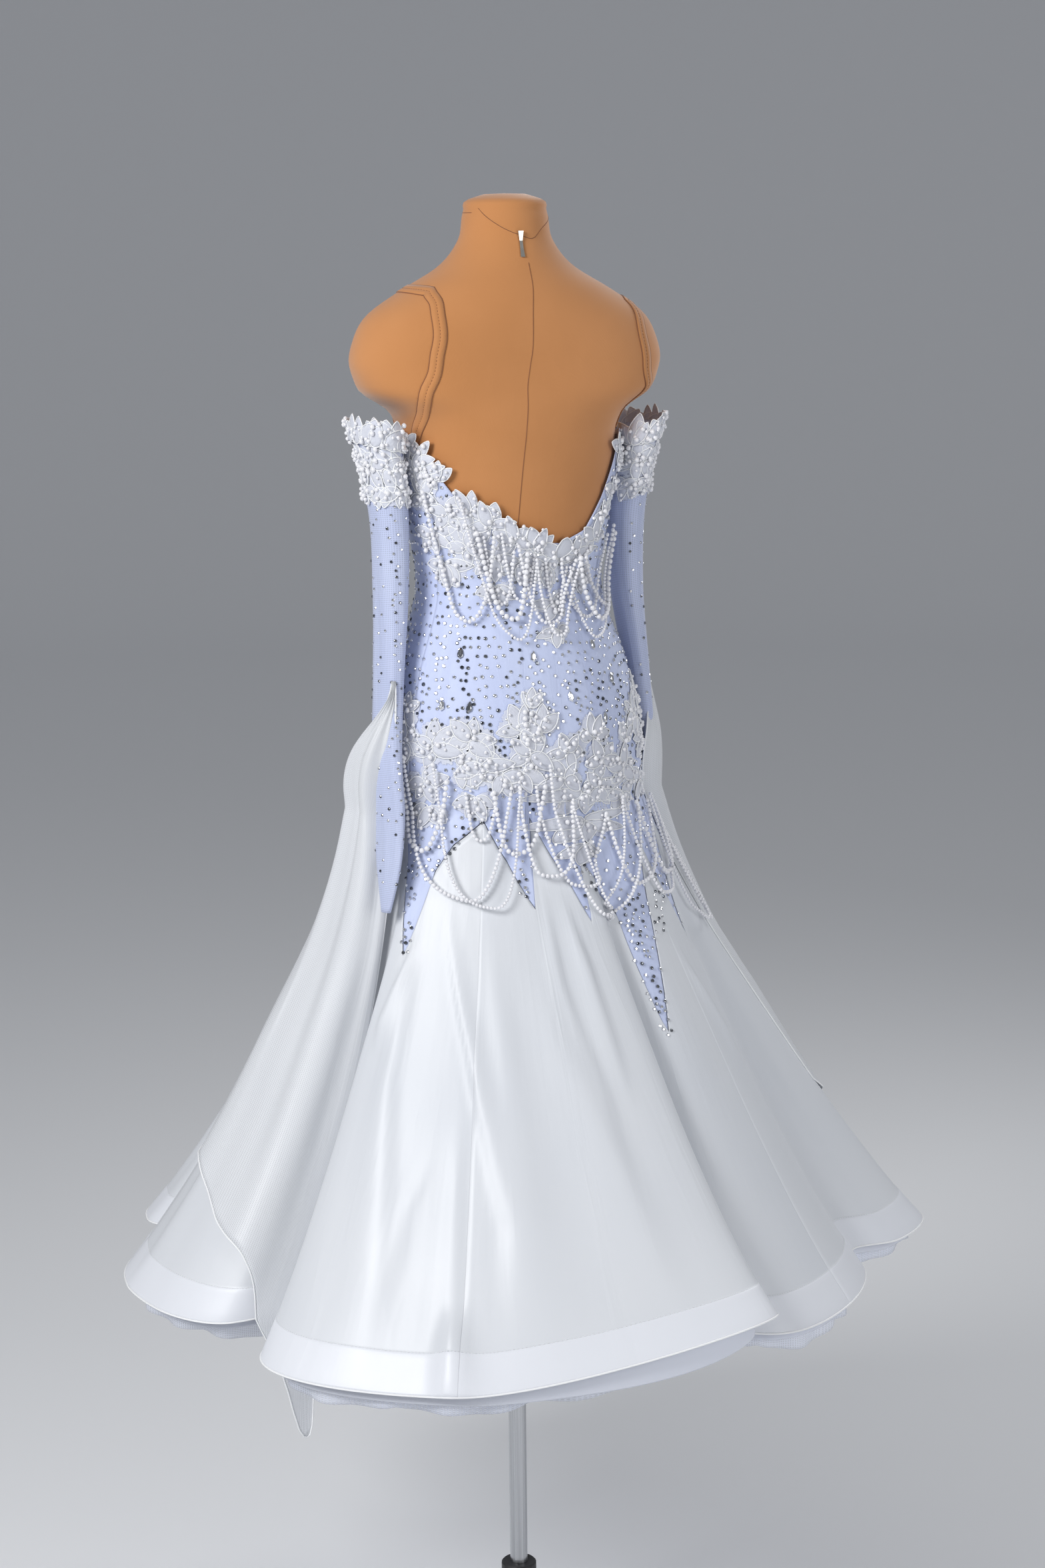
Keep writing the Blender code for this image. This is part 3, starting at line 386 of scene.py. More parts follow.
class NetSurface(Surface):
    """The petticoat's outer side: on the underskirt's inside at its top, and drawn in at its hem."""

    def __init__(self) -> None:
        """Keeps the two surfaces that it runs between."""
        self.seat, self.free = DressSurface(UNDERSKIRT), DressSurface(PETTICOAT)

    def point(self, u: Array, v: Array) -> Array:
        """The points at places u and heights v."""
        place, height = np.broadcast_arrays(np.asarray(u, float), np.asarray(v, float))
        share = np.clip((NET_TOP_Z - height) / (NET_TOP_Z - HEM_Z), 0, 1)[..., None]
        return self.seat.off(place, height, -0.0016) * (1 - share) + self.free.point(place, height) * share


@dataclass
class PhotoView:
    """The camera of the photograph: it finds places on a surface from pixels, and makes Blender's camera."""

    focal_px: float = 4289.0
    pitch: float = 10.73
    yaw: float = 0.24
    roll: float = 0.56
    distance: float = 3.685
    height: float = 1.92
    azimuth: float = 160.0
    centre: tuple[float, float] = (784.0, 1176.0)
    maps: dict[int, tuple[Array, Array, Array]] = field(default_factory=dict)

    def __post_init__(self) -> None:
        """Works out the camera's place and its right, up and forward directions."""
        a, p, w, r = (math.radians(v) for v in (self.azimuth, self.pitch, self.yaw, self.roll))
        ahead = np.array([-math.sin(a), math.cos(a), 0.0])
        side = np.array([math.cos(a), math.sin(a), 0.0])
        self.place = -ahead * self.distance + np.array([0.0, 0.0, self.height])
        level = ahead * math.cos(w) + side * math.sin(w)
        right = side * math.cos(w) - ahead * math.sin(w)
        top = np.array([0.0, 0.0, 1.0])
        self.forward = level * math.cos(p) - top * math.sin(p)
        up = top * math.cos(p) + level * math.sin(p)
        self.right = right * math.cos(r) - up * math.sin(r)
        self.up = right * math.sin(r) + up * math.cos(r)

    def project(self, points: Array) -> Array:
        """Pixels of points: focal length times sideways over forward distance."""
        d = points - self.place
        depth = d @ self.forward
        x = self.centre[0] + self.focal_px * (d @ self.right) / depth
        y = self.centre[1] - self.focal_px * (d @ self.up) / depth
        return np.stack([x, y], -1)

    def facing_map(self, surface: Surface) -> tuple[Array, Array, Array]:
        """A surface's u, v and pixels where it faces the camera, worked out once for each surface."""
        if id(surface) not in self.maps:
            uu, vv = np.meshgrid(*surface.back_grid())
            points = surface.point(uu, vv)
            normal = np.cross(np.gradient(points, axis=1), np.gradient(points, axis=0))
            facing = np.sum(normal * (points - self.place), -1) < 0
            self.maps[id(surface)] = (uu[facing], vv[facing], self.project(points[facing]))
        return self.maps[id(surface)]

    def locate(self, surface: Surface, pixels: Array, low: float = 0.0) -> tuple[Array, Array]:
        """Where pixels fall on the side of a surface that faces the camera.

        The nearest of the surface's mapped points is taken, and three steps of Newton's method mend it.

        Args:
            surface: What is looked at.
            pixels: Rows of x and y.
            low: The least v that counts.

        Returns:
            The surface's u and v at each pixel.
        """
        uu, vv, seen = self.facing_map(surface)
        kept = vv > low
        uu, vv, seen = uu[kept], vv[kept], seen[kept]
        pixels = np.asarray(pixels, float)
        best = np.array([np.argmin(np.abs(seen - pixel).sum(1)) for pixel in pixels])
        bu, bv = uu[best], vv[best]
        for _ in range(3):
            miss = pixels - self.project(surface.point(bu, bv))
            du = (self.project(surface.point(bu + surface.u_step, bv)) - self.project(surface.point(bu, bv)))
            dv = (self.project(surface.point(bu, bv + surface.v_step)) - self.project(surface.point(bu, bv)))
            slope = np.stack([du / surface.u_step, dv / surface.v_step], -1)
            flat = np.abs(np.linalg.det(slope)) < 1e2
            slope[flat] += np.eye(2) * 1e4
            step = np.linalg.solve(slope, miss[..., None])[..., 0]
            limit = 20 * surface.u_step
            bu, bv = bu + np.clip(step[:, 0], -limit, limit), bv + np.clip(step[:, 1], -0.02, 0.02)
        return bu, bv

    def make_camera(self) -> bpy.types.Object:
        """Blender's camera in the photograph's place. Its lens is on the frame's long side of 36 mm."""
        data = bpy.data.cameras.new("photo_camera")
        data.sensor_fit = "AUTO"
        data.sensor_width = 36.0
        data.lens = self.focal_px * 36.0 / 2352
        data.clip_start, data.clip_end = 0.05, 50.0
        camera = bpy.data.objects.new("photo_camera", data)
        bpy.context.scene.collection.objects.link(camera)
        axes = Matrix([list(row) for row in np.stack([self.right, self.up, -self.forward], 1)])
        camera.matrix_world = Matrix.Translation(Vector(self.place)) @ axes.to_4x4()
        bpy.context.scene.camera = camera
        return camera


def grid_faces(rows: int, columns: int, closed: bool = False) -> Array:
    """Quads of a grid whose rows go up and whose columns go to the left, seen from outside."""
    r, c = np.meshgrid(np.arange(rows - 1), np.arange(columns if closed else columns - 1), indexing="ij")
    d = (c + 1) % columns
    return np.stack(
        [r * columns + c, r * columns + d, (r + 1) * columns + d, (r + 1) * columns + c], -1
    ).reshape(-1, 4)


def make_mesh(
    name: str,
    vertices: Array,
    faces: Array,
    material: bpy.types.Material,
    uv: Array | None = None,
    values: dict[str, Array] | None = None,
    flat: bool = False,
) -> bpy.types.Object:
    """A mesh object from whole arrays.

    Args:
        name: Its name.
        vertices: Points.
        faces: Rows of vertex numbers, all of one length.
        material: Its finish.
        uv: A UV pair for each corner of each face.
        values: Named numbers, one for each vertex.
        flat: Whether its faces stay flat, as on cut stones.

    Returns:
        The object, which rides on the body.
    """
    vertices, faces = np.asarray(vertices, np.float32).reshape(-1, 3), np.asarray(faces, np.int32)
    mesh = bpy.data.meshes.new(name)
    count, sides = faces.shape
    mesh.vertices.add(len(vertices))
    mesh.vertices.foreach_set("co", vertices.ravel())
    mesh.loops.add(faces.size)
    mesh.loops.foreach_set("vertex_index", faces.ravel())
    mesh.polygons.add(count)
    mesh.polygons.foreach_set("loop_start", np.arange(count, dtype=np.int32) * sides)
    mesh.polygons.foreach_set("loop_total", np.full(count, sides, np.int32))
    mesh.polygons.foreach_set("use_smooth", np.full(count, not flat))
    mesh.update(calc_edges=True)
    if uv is not None:
        layer = mesh.uv_layers.new(name="cloth")
        layer.data.foreach_set("uv", np.asarray(uv, np.float32).ravel())
    for key, numbers in (values or {}).items():
        layer = mesh.attributes.new(key, "FLOAT", "POINT")
        layer.data.foreach_set("value", np.asarray(numbers, np.float32).ravel())
    mesh.materials.append(material)
    obj = bpy.data.objects.new(name, mesh)
    bpy.context.scene.collection.objects.link(obj)
    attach(obj, BODY)
    return obj


def cloth_grid(
    name: str,
    points: Array,
    material: bpy.types.Material,
    wall: float,
    closed: bool = False,
    inwards: bool = False,
    values: dict[str, Array] | None = None,
) -> bpy.types.Object:
    """A thin shell on a grid of points, with a UV map in metres: across along a row, and up from the hem.

    Args:
        name: Its name.
        points: Rows from the bottom up, each of points, as an array of rows, columns and 3.
        material: Its finish.
        wall: The cloth's thickness, which goes inwards.
        closed: Whether the columns go all round.
        inwards: Whether the columns go to the right, seen from outside.
        values: Named numbers, one for each point.

    Returns:
        The object, with its wall.
    """
    rows, columns = points.shape[:2]
    faces = grid_faces(rows, columns, closed)
    ring = np.concatenate([points, points[:, :1]], 1) if closed else points
    middle = ring[rows // 2]
    across = np.concatenate([[0], np.cumsum(np.linalg.norm(np.diff(middle, axis=0), axis=-1))])
    up = np.concatenate([np.zeros((1, ring.shape[1])), np.cumsum(np.linalg.norm(np.diff(ring, axis=0), axis=-1), 0)])
    uv_grid = np.stack([np.broadcast_to(across, up.shape), up], -1)
    corners = grid_faces(rows, ring.shape[1])
    if closed:
        corners = corners.reshape(rows - 1, columns, 4).reshape(-1, 4)
    if inwards:
        faces, corners = faces[:, ::-1], corners[:, ::-1]
    obj = make_mesh(name, points, faces, material, uv_grid.reshape(-1, 2)[corners.ravel()], values)
    shell = obj.modifiers.new("wall", "SOLIDIFY")
    shell.thickness = wall
    shell.offset = -1.0
    return obj


def tube_faces(count: int, rings: int, sides: int, closed: bool) -> Array:
    """Quads round a number of tubes of equal length."""
    one = grid_faces(rings + (1 if closed else 0), sides, closed=True)
    one = np.where(one >= rings * sides, one - rings * sides, one)
    return (one[None] + (np.arange(count) * rings * sides)[:, None, None]).reshape(-1, 4)


def tubes(
    name: str,
    paths: Array,
    normals: Array,
    radius: float | Array,
    material: bpy.types.Material,
    closed: bool = False,
    sides: int = 6,
) -> bpy.types.Object:
    """Round cords along paths: each ring is centre + radius·(cos·side + sin·normal).

    Args:
        name: The object's name.
        paths: An array of tubes, points and 3.
        normals: The surface's normal at each point.
        radius: The cords' radius.
        material: Their finish.
        closed: Whether each path ends where it starts. Open ends taper to a point.
        sides: Sides of a ring.

    Returns:
        One object with all the cords.
    """
    count, rings = paths.shape[:2]
    if closed:
        tangent = np.roll(paths, -1, 1) - np.roll(paths, 1, 1)
    else:
        tangent = np.gradient(paths, axis=1)
    side = unit(np.cross(unit(tangent), normals))
    turn = np.arange(sides) * 2 * math.pi / sides
    size = np.broadcast_to(np.asarray(radius, float), paths.shape[:2]).copy()
    if not closed:
        size[:, 0] = size[:, -1] = 0.02 * size[:, 0]
    ring = side[:, :, None] * np.cos(turn)[None, None, :, None] + normals[:, :, None] * np.sin(turn)[None, None, :, None]
    points = paths[:, :, None] + ring * size[:, :, None, None]
    return make_mesh(name, points, tube_faces(count, rings, sides, closed)[:, ::-1], material)


def stamped(
    name: str,
    shape: Array,
    faces: Array,
    origins: Array,
    axes: Array,
    sizes: Array,
    material: bpy.types.Material,
    values: dict[str, Array] | None = None,
    flat: bool = False,
) -> bpy.types.Object:
    """One mesh with a copy of a small shape at each origin.

    Args:
        name: The object's name.
        shape: The shape's points, one unit in size.
        faces: Its faces.
        origins: Where each copy's origin goes.
        axes: Each copy's three directions, as rows.
        sizes: Each copy's size along its directions, of shape (copies, 3).
        material: Its finish.
        values: Named numbers, one for each copy.
        flat: Whether its faces stay flat.

    Returns:
        The object.
    """
    points = origins[:, None] + np.einsum("ki,ni,nij->nkj", shape, sizes, axes)
    whole = faces[None] + (np.arange(len(origins)) * len(shape))[:, None, None]
    spread = {key: np.repeat(v, len(shape)) for key, v in (values or {}).items()}
    return make_mesh(name, points, whole.reshape(-1, faces.shape[1]), material, None, spread, flat)


def ball_shape(sides: int = 6, rings: int = 5) -> tuple[Array, Array]:
    """A ball of radius 1, with its poles closed by narrow quads."""
    polar = np.linspace(0.06, math.pi - 0.06, rings)[::-1]
    turn = np.arange(sides) * 2 * math.pi / sides
    points = np.stack(
        [
            np.sin(polar)[:, None] * np.cos(turn),
            np.sin(polar)[:, None] * np.sin(turn),
            np.cos(polar)[:, None] * np.ones(sides),
        ],
        -1,
    ).reshape(-1, 3)
    faces = grid_faces(rings, sides, closed=True)
    caps = np.array([[0, i + 2, i + 1, i] for i in range(1, sides - 2, 2)])
    top = (rings - 1) * sides
    return points, np.concatenate([faces, caps, caps[:, ::-1] + top])


def stone_shape(points_round: int = 6) -> tuple[Array, Array]:
    """A flat-backed cut stone of radius 1: a girdle, a crown of facets and a table, as triangles."""
    turn = np.arange(points_round) * 2 * math.pi / points_round
    half = turn + math.pi / points_round
    rings = [(1.0, 0.0, turn), (1.0, 0.18, turn), (0.80, 0.42, half), (0.52, 0.58, turn)]
    points = np.concatenate(
        [np.stack([r * np.cos(t), r * np.sin(t), np.full(points_round, z)], -1) for r, z, t in rings]
    )
    i = np.arange(points_round)
    j = (i + 1) % points_round
    n = points_round
    faces = [
        np.stack([i, j, j + n], -1),
        np.stack([i, j + n, i + n], -1),
        np.stack([i + n, j + n, i + 2 * n], -1),
        np.stack([i + 2 * n, j + n, j + 2 * n], -1),
        np.stack([i + 2 * n, j + 3 * n, i + 3 * n], -1),
        np.stack([i + 2 * n, j + 2 * n, j + 3 * n], -1),
    ]
    fan = np.arange(1, n - 1)
    faces.append(np.stack([np.zeros_like(fan) + 3 * n, fan + 3 * n, fan + 1 + 3 * n], -1))
    faces.append(np.stack([np.zeros_like(fan), fan + 1, fan], -1))
    return points, np.concatenate(faces)


def frames_on(surface: Surface, u: Array, v: Array, turn: Array | float) -> Array:
    """Directions of pieces laid on a surface: along, across and out, turned by degrees from level."""
    normal = surface.normal(u, v)
    level = unit(np.cross(np.array([0.0, 0.0, 1.0]), normal))
    rising = np.cross(normal, level)
    t = np.radians(turn)
    c, s = np.cos(t)[..., None], np.sin(t)[..., None]
    return np.stack([level * c + rising * s, rising * c - level * s, normal], -2)


class Shader:
    """A short way to build a material's nodes."""

    def __init__(self, tree: bpy.types.NodeTree) -> None:
        """Keeps the node tree."""
        self.tree = tree

    def node(self, kind: str, inputs: dict | None = None, **settings: object) -> bpy.types.Node:
        """Adds a node.

        Args:
            kind: Its type.
            inputs: Values or sockets for its inputs, by name or number.
            **settings: Its own properties.

        Returns:
            The node.
        """
        made = self.tree.nodes.new(kind)
        for key, value in settings.items():
            setattr(made, key, value)
        for key, value in (inputs or {}).items():
            if isinstance(value, bpy.types.NodeSocket):
                self.tree.links.new(value, made.inputs[key])
            else:
                made.inputs[key].default_value = value
        return made

    def math(self, operation: str, first: object, second: object = 0.0, clamp: bool = False) -> bpy.types.NodeSocket:
        """A Math node's value."""
        return self.node("ShaderNodeMath", {0: first, 1: second}, operation=operation, use_clamp=clamp).outputs[0]

    def remap(self, value: object, low: float, high: float, to_low: float, to_high: float) -> bpy.types.NodeSocket:
        """A value carried from one span to another, and held at its ends."""
        inputs = {0: value, 1: low, 2: high, 3: to_low, 4: to_high}
        return self.node("ShaderNodeMapRange", inputs, clamp=True).outputs[0]

    def blend(self, share: object, first: object, second: object) -> bpy.types.NodeSocket:
        """Two colours mixed."""
        mix = self.node("ShaderNodeMix", {0: share, 6: first, 7: second}, data_type="RGBA")
        return mix.outputs[2]


class Effect(Enum):
    """The node groups that several materials share."""

    WEAVE = "cloth_weave"
    CREASE = "silk_crease"
    CLOUD = "soft_cloud"


def effect_group(effect: Effect) -> bpy.types.NodeTree:
    """The node group of an effect, made the first time it is asked for.

    WEAVE puts out the height of crossed threads, CREASE that of long soft creases, and CLOUD a slow value.

    Args:
        effect: Which one.

    Returns:
        The group.
    """
    if effect.value in bpy.data.node_groups:
        return bpy.data.node_groups[effect.value]
    group = bpy.data.node_groups.new(effect.value, "ShaderNodeTree")
    group.interface.new_socket("Vector", in_out="INPUT", socket_type="NodeSocketVector")
    for name in ("Across", "Along"):
        group.interface.new_socket(name, in_out="INPUT", socket_type="NodeSocketFloat")
    group.interface.new_socket("Value", in_out="OUTPUT", socket_type="NodeSocketFloat")
    g = Shader(group)
    start, end = g.node("NodeGroupInput"), g.node("NodeGroupOutput")
    parts = g.node("ShaderNodeSeparateXYZ", {0: start.outputs["Vector"]})
    x = g.math("MULTIPLY", parts.outputs[0], start.outputs["Across"])
    y = g.math("MULTIPLY", parts.outputs[1], start.outputs["Along"])
    if effect is Effect.WEAVE:
        warp = g.math("ABSOLUTE", g.math("SINE", g.math("MULTIPLY", x, math.pi)))
        weft = g.math("ABSOLUTE", g.math("SINE", g.math("MULTIPLY", y, math.pi)))
        value = g.math("MAXIMUM", warp, weft)
    else:
        z = g.math("MULTIPLY", parts.outputs[2], start.outputs["Along"])
        vector = g.node("ShaderNodeCombineXYZ", {0: x, 1: y, 2: z}).outputs[0]
        noise = g.node("ShaderNodeTexNoise", {"Vector": vector, "Scale": 1.0, "Detail": 3.0, "Roughness": 0.5})
        value = noise.outputs["Fac"]
        if effect is Effect.CREASE:
            ridge = g.math("ABSOLUTE", g.math("SUBTRACT", value, 0.5))
            value = g.math("POWER", g.math("SUBTRACT", 1.0, g.math("MULTIPLY", ridge, 2.0)), 3.0)
    g.tree.links.new(value, end.inputs["Value"])
    return group


def use_effect(g: Shader, effect: Effect, vector: object, across: float, along: float) -> bpy.types.NodeSocket:
    """An effect's value in a material, at patterns per metre across and along."""
    node = g.node("ShaderNodeGroup", node_tree=effect_group(effect))
    g.tree.links.new(vector, node.inputs["Vector"])
    node.inputs["Across"].default_value = across
    node.inputs["Along"].default_value = along
    return node.outputs["Value"]


class Coordinates(Enum):
    """What a finish's pattern follows."""

    CLOTH = "UV"
    OBJECT = "Object"


@dataclass(frozen=True)
class Finish:
    """A cloth or solid finish: its colours, gloss, weave and creases."""

    name: str
    colour: tuple[float, float, float]
    shade: tuple[float, float, float]
    roughness: float = 0.5
    sheen: float = 0.0
    threads: float = 900.0
    thread_depth: float = 0.00012
    crease_across: float = 30.0
    crease_along: float = 4.0
    crease_depth: float = 0.0
    cloud: float = 3.0
    alpha: float = 1.0
    metallic: float = 0.0
    coat: float = 0.0
    follows: Coordinates = Coordinates.CLOTH

    def start(self) -> tuple[bpy.types.Material, Shader, bpy.types.Node, bpy.types.NodeSocket]:
        """A material with its shader and the vector that its pattern follows."""
        material = bpy.data.materials.new(self.name)
        material.use_nodes = True
        g = Shader(material.node_tree)
        shader = material.node_tree.nodes["Principled BSDF"]
        shader.inputs["Roughness"].default_value = self.roughness
        shader.inputs["Metallic"].default_value = self.metallic
        shader.inputs["Sheen Weight"].default_value = self.sheen
        shader.inputs["Coat Weight"].default_value = self.coat
        vector = g.node("ShaderNodeTexCoord").outputs[self.follows.value]
        return material, g, shader, vector

    def material(self) -> bpy.types.Material:
        """The material: cloudy colour, threads and creases as bumps, and a net where alpha is under 1."""
        material, g, shader, vector = self.start()
        cloud = use_effect(g, Effect.CLOUD, vector, self.cloud, self.cloud)
        share = g.remap(cloud, 0.35, 0.65, 0.0, 1.0)
        colour = g.blend(share, (*self.colour, 1), (*self.shade, 1))
        if self is SATIN:
            band = g.node("ShaderNodeAttribute", attribute_name="band").outputs["Fac"]
            # The hem band is painted lighter, as sheen for its smoother cloth.
            colour = g.blend(band, colour, (0.76, 0.78, 0.83, 1))
        g.tree.links.new(colour, shader.inputs["Base Color"])
        grain = use_effect(g, Effect.WEAVE, vector, self.threads, self.threads)
        bump = g.node("ShaderNodeBump", {"Height": grain, "Strength": 0.6, "Distance": self.thread_depth})
        if self.crease_depth:
            crease = use_effect(g, Effect.CREASE, vector, self.crease_across, self.crease_along)
            fine = use_effect(g, Effect.CREASE, vector, 3.1 * self.crease_across, 2.2 * self.crease_along)
            both = g.math("ADD", crease, g.math("MULTIPLY", fine, 0.35))
            soft = g.node("ShaderNodeBump", {"Height": both, "Strength": 0.8, "Distance": self.crease_depth})
            g.tree.links.new(soft.outputs[0], bump.inputs["Normal"])
        g.tree.links.new(bump.outputs[0], shader.inputs["Normal"])
        gloss = g.remap(cloud, 0.3, 0.7, self.roughness - 0.05, self.roughness + 0.07)
        g.tree.links.new(gloss, shader.inputs["Roughness"])
        if self is LACE_GROUND:
            cover = g.node("ShaderNodeAttribute", attribute_name="cover").outputs["Fac"]
            figure = use_effect(g, Effect.CLOUD, vector, 190.0, 190.0)
            g.tree.links.new(
                g.remap(g.math("SUBTRACT", cover, g.math("MULTIPLY", figure, 0.8)), -0.02, 0.06, 0.0, 0.93),
                shader.inputs["Alpha"],
            )
        if self.alpha < 1:
            open_net = use_effect(g, Effect.WEAVE, vector, 420.0, 420.0)
            g.tree.links.new(
                g.remap(open_net, 0.55, 1.0, self.alpha - 0.12, min(1.0, self.alpha + 0.14)), shader.inputs["Alpha"]
            )
        return material


SATIN = Finish(
    "skirt_satin", (0.70, 0.72, 0.755), (0.65, 0.675, 0.72), 0.40, 0.10, 1400.0, 0.00005, 8.0, 1.6, 0.0007, 2.0
)
UNDER_SATIN = Finish("underskirt_satin", (0.72, 0.745, 0.82), (0.68, 0.71, 0.80), 0.40, 0.1, 1400.0, 0.00005)
LILAC_KNIT = Finish(
    "bodice_knit", (0.575, 0.64, 0.86), (0.535, 0.60, 0.84), 0.50, 0.25, 1100.0, 0.00010, 20.0, 12.0, 0.0003, 4.0
)
LILAC_NET = Finish(
    "sleeve_net", (0.53, 0.585, 0.78), (0.49, 0.545, 0.76), 0.52, 0.25, 800.0, 0.00010, 40.0, 4.0, 0.0008, 5.0, 0.86
)
ORGANZA = Finish(
    "float_organza", (0.78, 0.80, 0.83), (0.74, 0.76, 0.80), 0.34, 0.15, 1500.0, 0.00005, 12.0, 1.5, 0.0006, 2.5, 0.80
)
TULLE = Finish(
    "petticoat_tulle", (0.86, 0.89, 0.97), (0.80, 0.84, 0.96), 0.55, 0.2, 400.0, 0.00020, cloud=6.0, alpha=0.50
)
LACE = Finish("corded_lace", (0.66, 0.68, 0.75), (0.60, 0.62, 0.71), 0.62, 0.3, 900.0, 0.0003, 260.0, 40.0, 0.0004, 30.0)
LACE_GROUND = Finish(
    "lace_ground", (0.70, 0.73, 0.82), (0.64, 0.67, 0.80), 0.62, 0.3, 700.0, 0.0003, 150.0, 60.0, 0.0005, 60.0
)
LACE_CORD = Finish("lace_cord", (0.93, 0.94, 0.95), (0.88, 0.89, 0.91), 0.5, 0.3, 900.0, 0.0003, follows=Coordinates.OBJECT)
COVER = Finish(
    "form_cover", (0.56, 0.240, 0.080), (0.50, 0.210, 0.066), 0.82, 0.35, 1200.0, 0.00010, 9.0, 6.0, 0.0004, 5.0,
    follows=Coordinates.OBJECT,
)
TAPE = Finish("cover_tape", (0.54, 0.228, 0.074), (0.48, 0.20, 0.062), 0.8, 0.3, 900.0, 0.00015, follows=Coordinates.OBJECT)
# Dark brown for the painted shadow lines of the cover's seams and tape edges, and for the tapes' real stitching thread.
SEAM_SHADOW_AND_THREAD = Finish("seam_thread", (0.27, 0.105, 0.038), (0.22, 0.085, 0.03), 0.85, 0.2, 900.0, 0.0001, follows=Coordinates.OBJECT)


@dataclass(frozen=True)
class PearlFinish(Finish):
    """Pearl lustre: a soft white body under a clear coat."""

    def material(self) -> bpy.types.Material:
        """The material, its colour drifting a little from pearl to pearl."""
        material, g, shader, vector = self.start()
        cloud = use_effect(g, Effect.CLOUD, vector, 55.0, 55.0)
        share = g.remap(cloud, 0.35, 0.65, 0.0, 1.0)
        g.tree.links.new(g.blend(share, (*self.colour, 1), (*self.shade, 1)), shader.inputs["Base Color"])
        shader.inputs["Coat Roughness"].default_value = 0.08
        shader.inputs["Specular IOR Level"].default_value = 0.6
        return material


@dataclass(frozen=True)
class StoneFinish(Finish):
    """Cut crystal with a silvered back: mirror facets, each stone painted from clear to dark by its painted dark
    reflection, so that some glint and others look dark.
    """

    def material(self) -> bpy.types.Material:
        """The material, painted from its clear colour to its dark one by each stone's painted dark reflection."""
        material, g, shader, _ = self.start()
        tone = g.node("ShaderNodeAttribute", attribute_name="tone").outputs["Fac"]
        g.tree.links.new(g.blend(tone, (*self.colour, 1), (*self.shade, 1)), shader.inputs["Base Color"])
        return material


PEARL = PearlFinish("pearl", (0.88, 0.88, 0.90), (0.80, 0.80, 0.85), 0.28, coat=0.7)
# Clear colour, and the dark colour that paints stones reflecting shade instead of a glint.
CRYSTAL = StoneFinish("crystal", (0.93, 0.94, 0.96), (0.10, 0.11, 0.13), 0.06, metallic=1.0)
SEQUIN = StoneFinish("sequin", (0.85, 0.87, 0.92), (0.5, 0.52, 0.58), 0.15, metallic=1.0)


@dataclass(frozen=True)
class MetalFinish(Finish):
    """Turned or drawn metal: fine streaks along one direction."""

    streak: float = 900.0

    def material(self) -> bpy.types.Material:
        """The material, its roughness and height in streaks round the axis."""
        material, g, shader, vector = self.start()
        cloud = use_effect(g, Effect.CLOUD, vector, self.streak, 3.0)
        share = g.remap(cloud, 0.3, 0.7, 0.0, 1.0)
        g.tree.links.new(g.blend(share, (*self.colour, 1), (*self.shade, 1)), shader.inputs["Base Color"])
        gloss = g.remap(cloud, 0.3, 0.7, self.roughness - 0.06, self.roughness + 0.1)
        g.tree.links.new(gloss, shader.inputs["Roughness"])
        bump = g.node("ShaderNodeBump", {"Height": cloud, "Strength": 0.3, "Distance": 0.0001})
        g.tree.links.new(bump.outputs[0], shader.inputs["Normal"])
        return material


POLE_STEEL = MetalFinish(
    "pole_steel", (0.62, 0.63, 0.65), (0.50, 0.51, 0.53), 0.30, metallic=1.0, follows=Coordinates.OBJECT
)
SLIDER_STEEL = MetalFinish(
    "slider_steel", (0.70, 0.68, 0.62), (0.55, 0.53, 0.48), 0.25, metallic=1.0, follows=Coordinates.OBJECT, streak=300.0
)
PLATE_BLACK = MetalFinish(
    "plate_black", (0.018, 0.018, 0.019), (0.030, 0.030, 0.031), 0.45, follows=Coordinates.OBJECT, streak=160.0
)


class Finishes:
    """Every material, made once."""

    def __init__(self) -> None:
        """Starts with none made."""
        self.made: dict[str, bpy.types.Material] = {}

    def get(self, finish: Finish) -> bpy.types.Material:
        """The material of a finish."""
        if finish.name not in self.made:
            self.made[finish.name] = finish.material()
        return self.made[finish.name]


class FoldLine(NamedTuple):
    """A fold of the skirt: pixels down its ridge, half widths to its left and right, and its height."""

    pixels: tuple[tuple[float, float], ...]
    left: float
    right: float
    depth: float


BACK_FOLDS = (
    FoldLine(((670, 1359), (704, 1571), (733, 1704), (770, 1843)), 0.010, 0.030, 0.0060),
    FoldLine(((624, 1452), (584, 1624), (570, 1800), (560, 1930)), 0.034, 0.018, 0.0070),
    FoldLine(((737, 1392), (783, 1731), (812, 1920)), 0.024, 0.028, 0.0050),
    FoldLine(((690, 1651), (684, 1777), (678, 1950), (680, 2056)), 0.012, 0.012, 0.0035),
    FoldLine(((681, 1980), (680, 2040), (680, 2080)), 0.018, 0.022, 0.0130),
    FoldLine(((800, 1440), (862, 1616), (925, 1761), (962, 1850)), 0.040, 0.020, 0.0070),
    FoldLine(((814, 1332), (840, 1477), (905, 1648)), 0.022, 0.010, 0.0050),
    FoldLine(((846, 1352), (880, 1455), (912, 1560)), 0.022, 0.012, 0.0055),
    FoldLine(((1040, 1600), (1110, 1658), (1185, 1720)), 0.045, 0.016, 0.0080),
    FoldLine(((996, 1455), (1060, 1541), (1124, 1640)), 0.022, 0.009, 0.0050),
    FoldLine(((1020, 1430), (1090, 1550), (1160, 1640)), 0.018, 0.012, 0.0050),
    FoldLine(((612, 1440), (575, 1532), (548, 1631), (515, 1740), (440, 1916)), 0.010, 0.040, 0.0080),
    FoldLine(((640, 1750), (612, 1815), (600, 1870)), 0.010, 0.006, 0.0026),
    FoldLine(((690, 1790), (640, 1850), (622, 1930)), 0.007, 0.012, 0.0026),
    FoldLine(((700, 1930), (760, 1985), (800, 2010)), 0.008, 0.008, 0.0020),
)


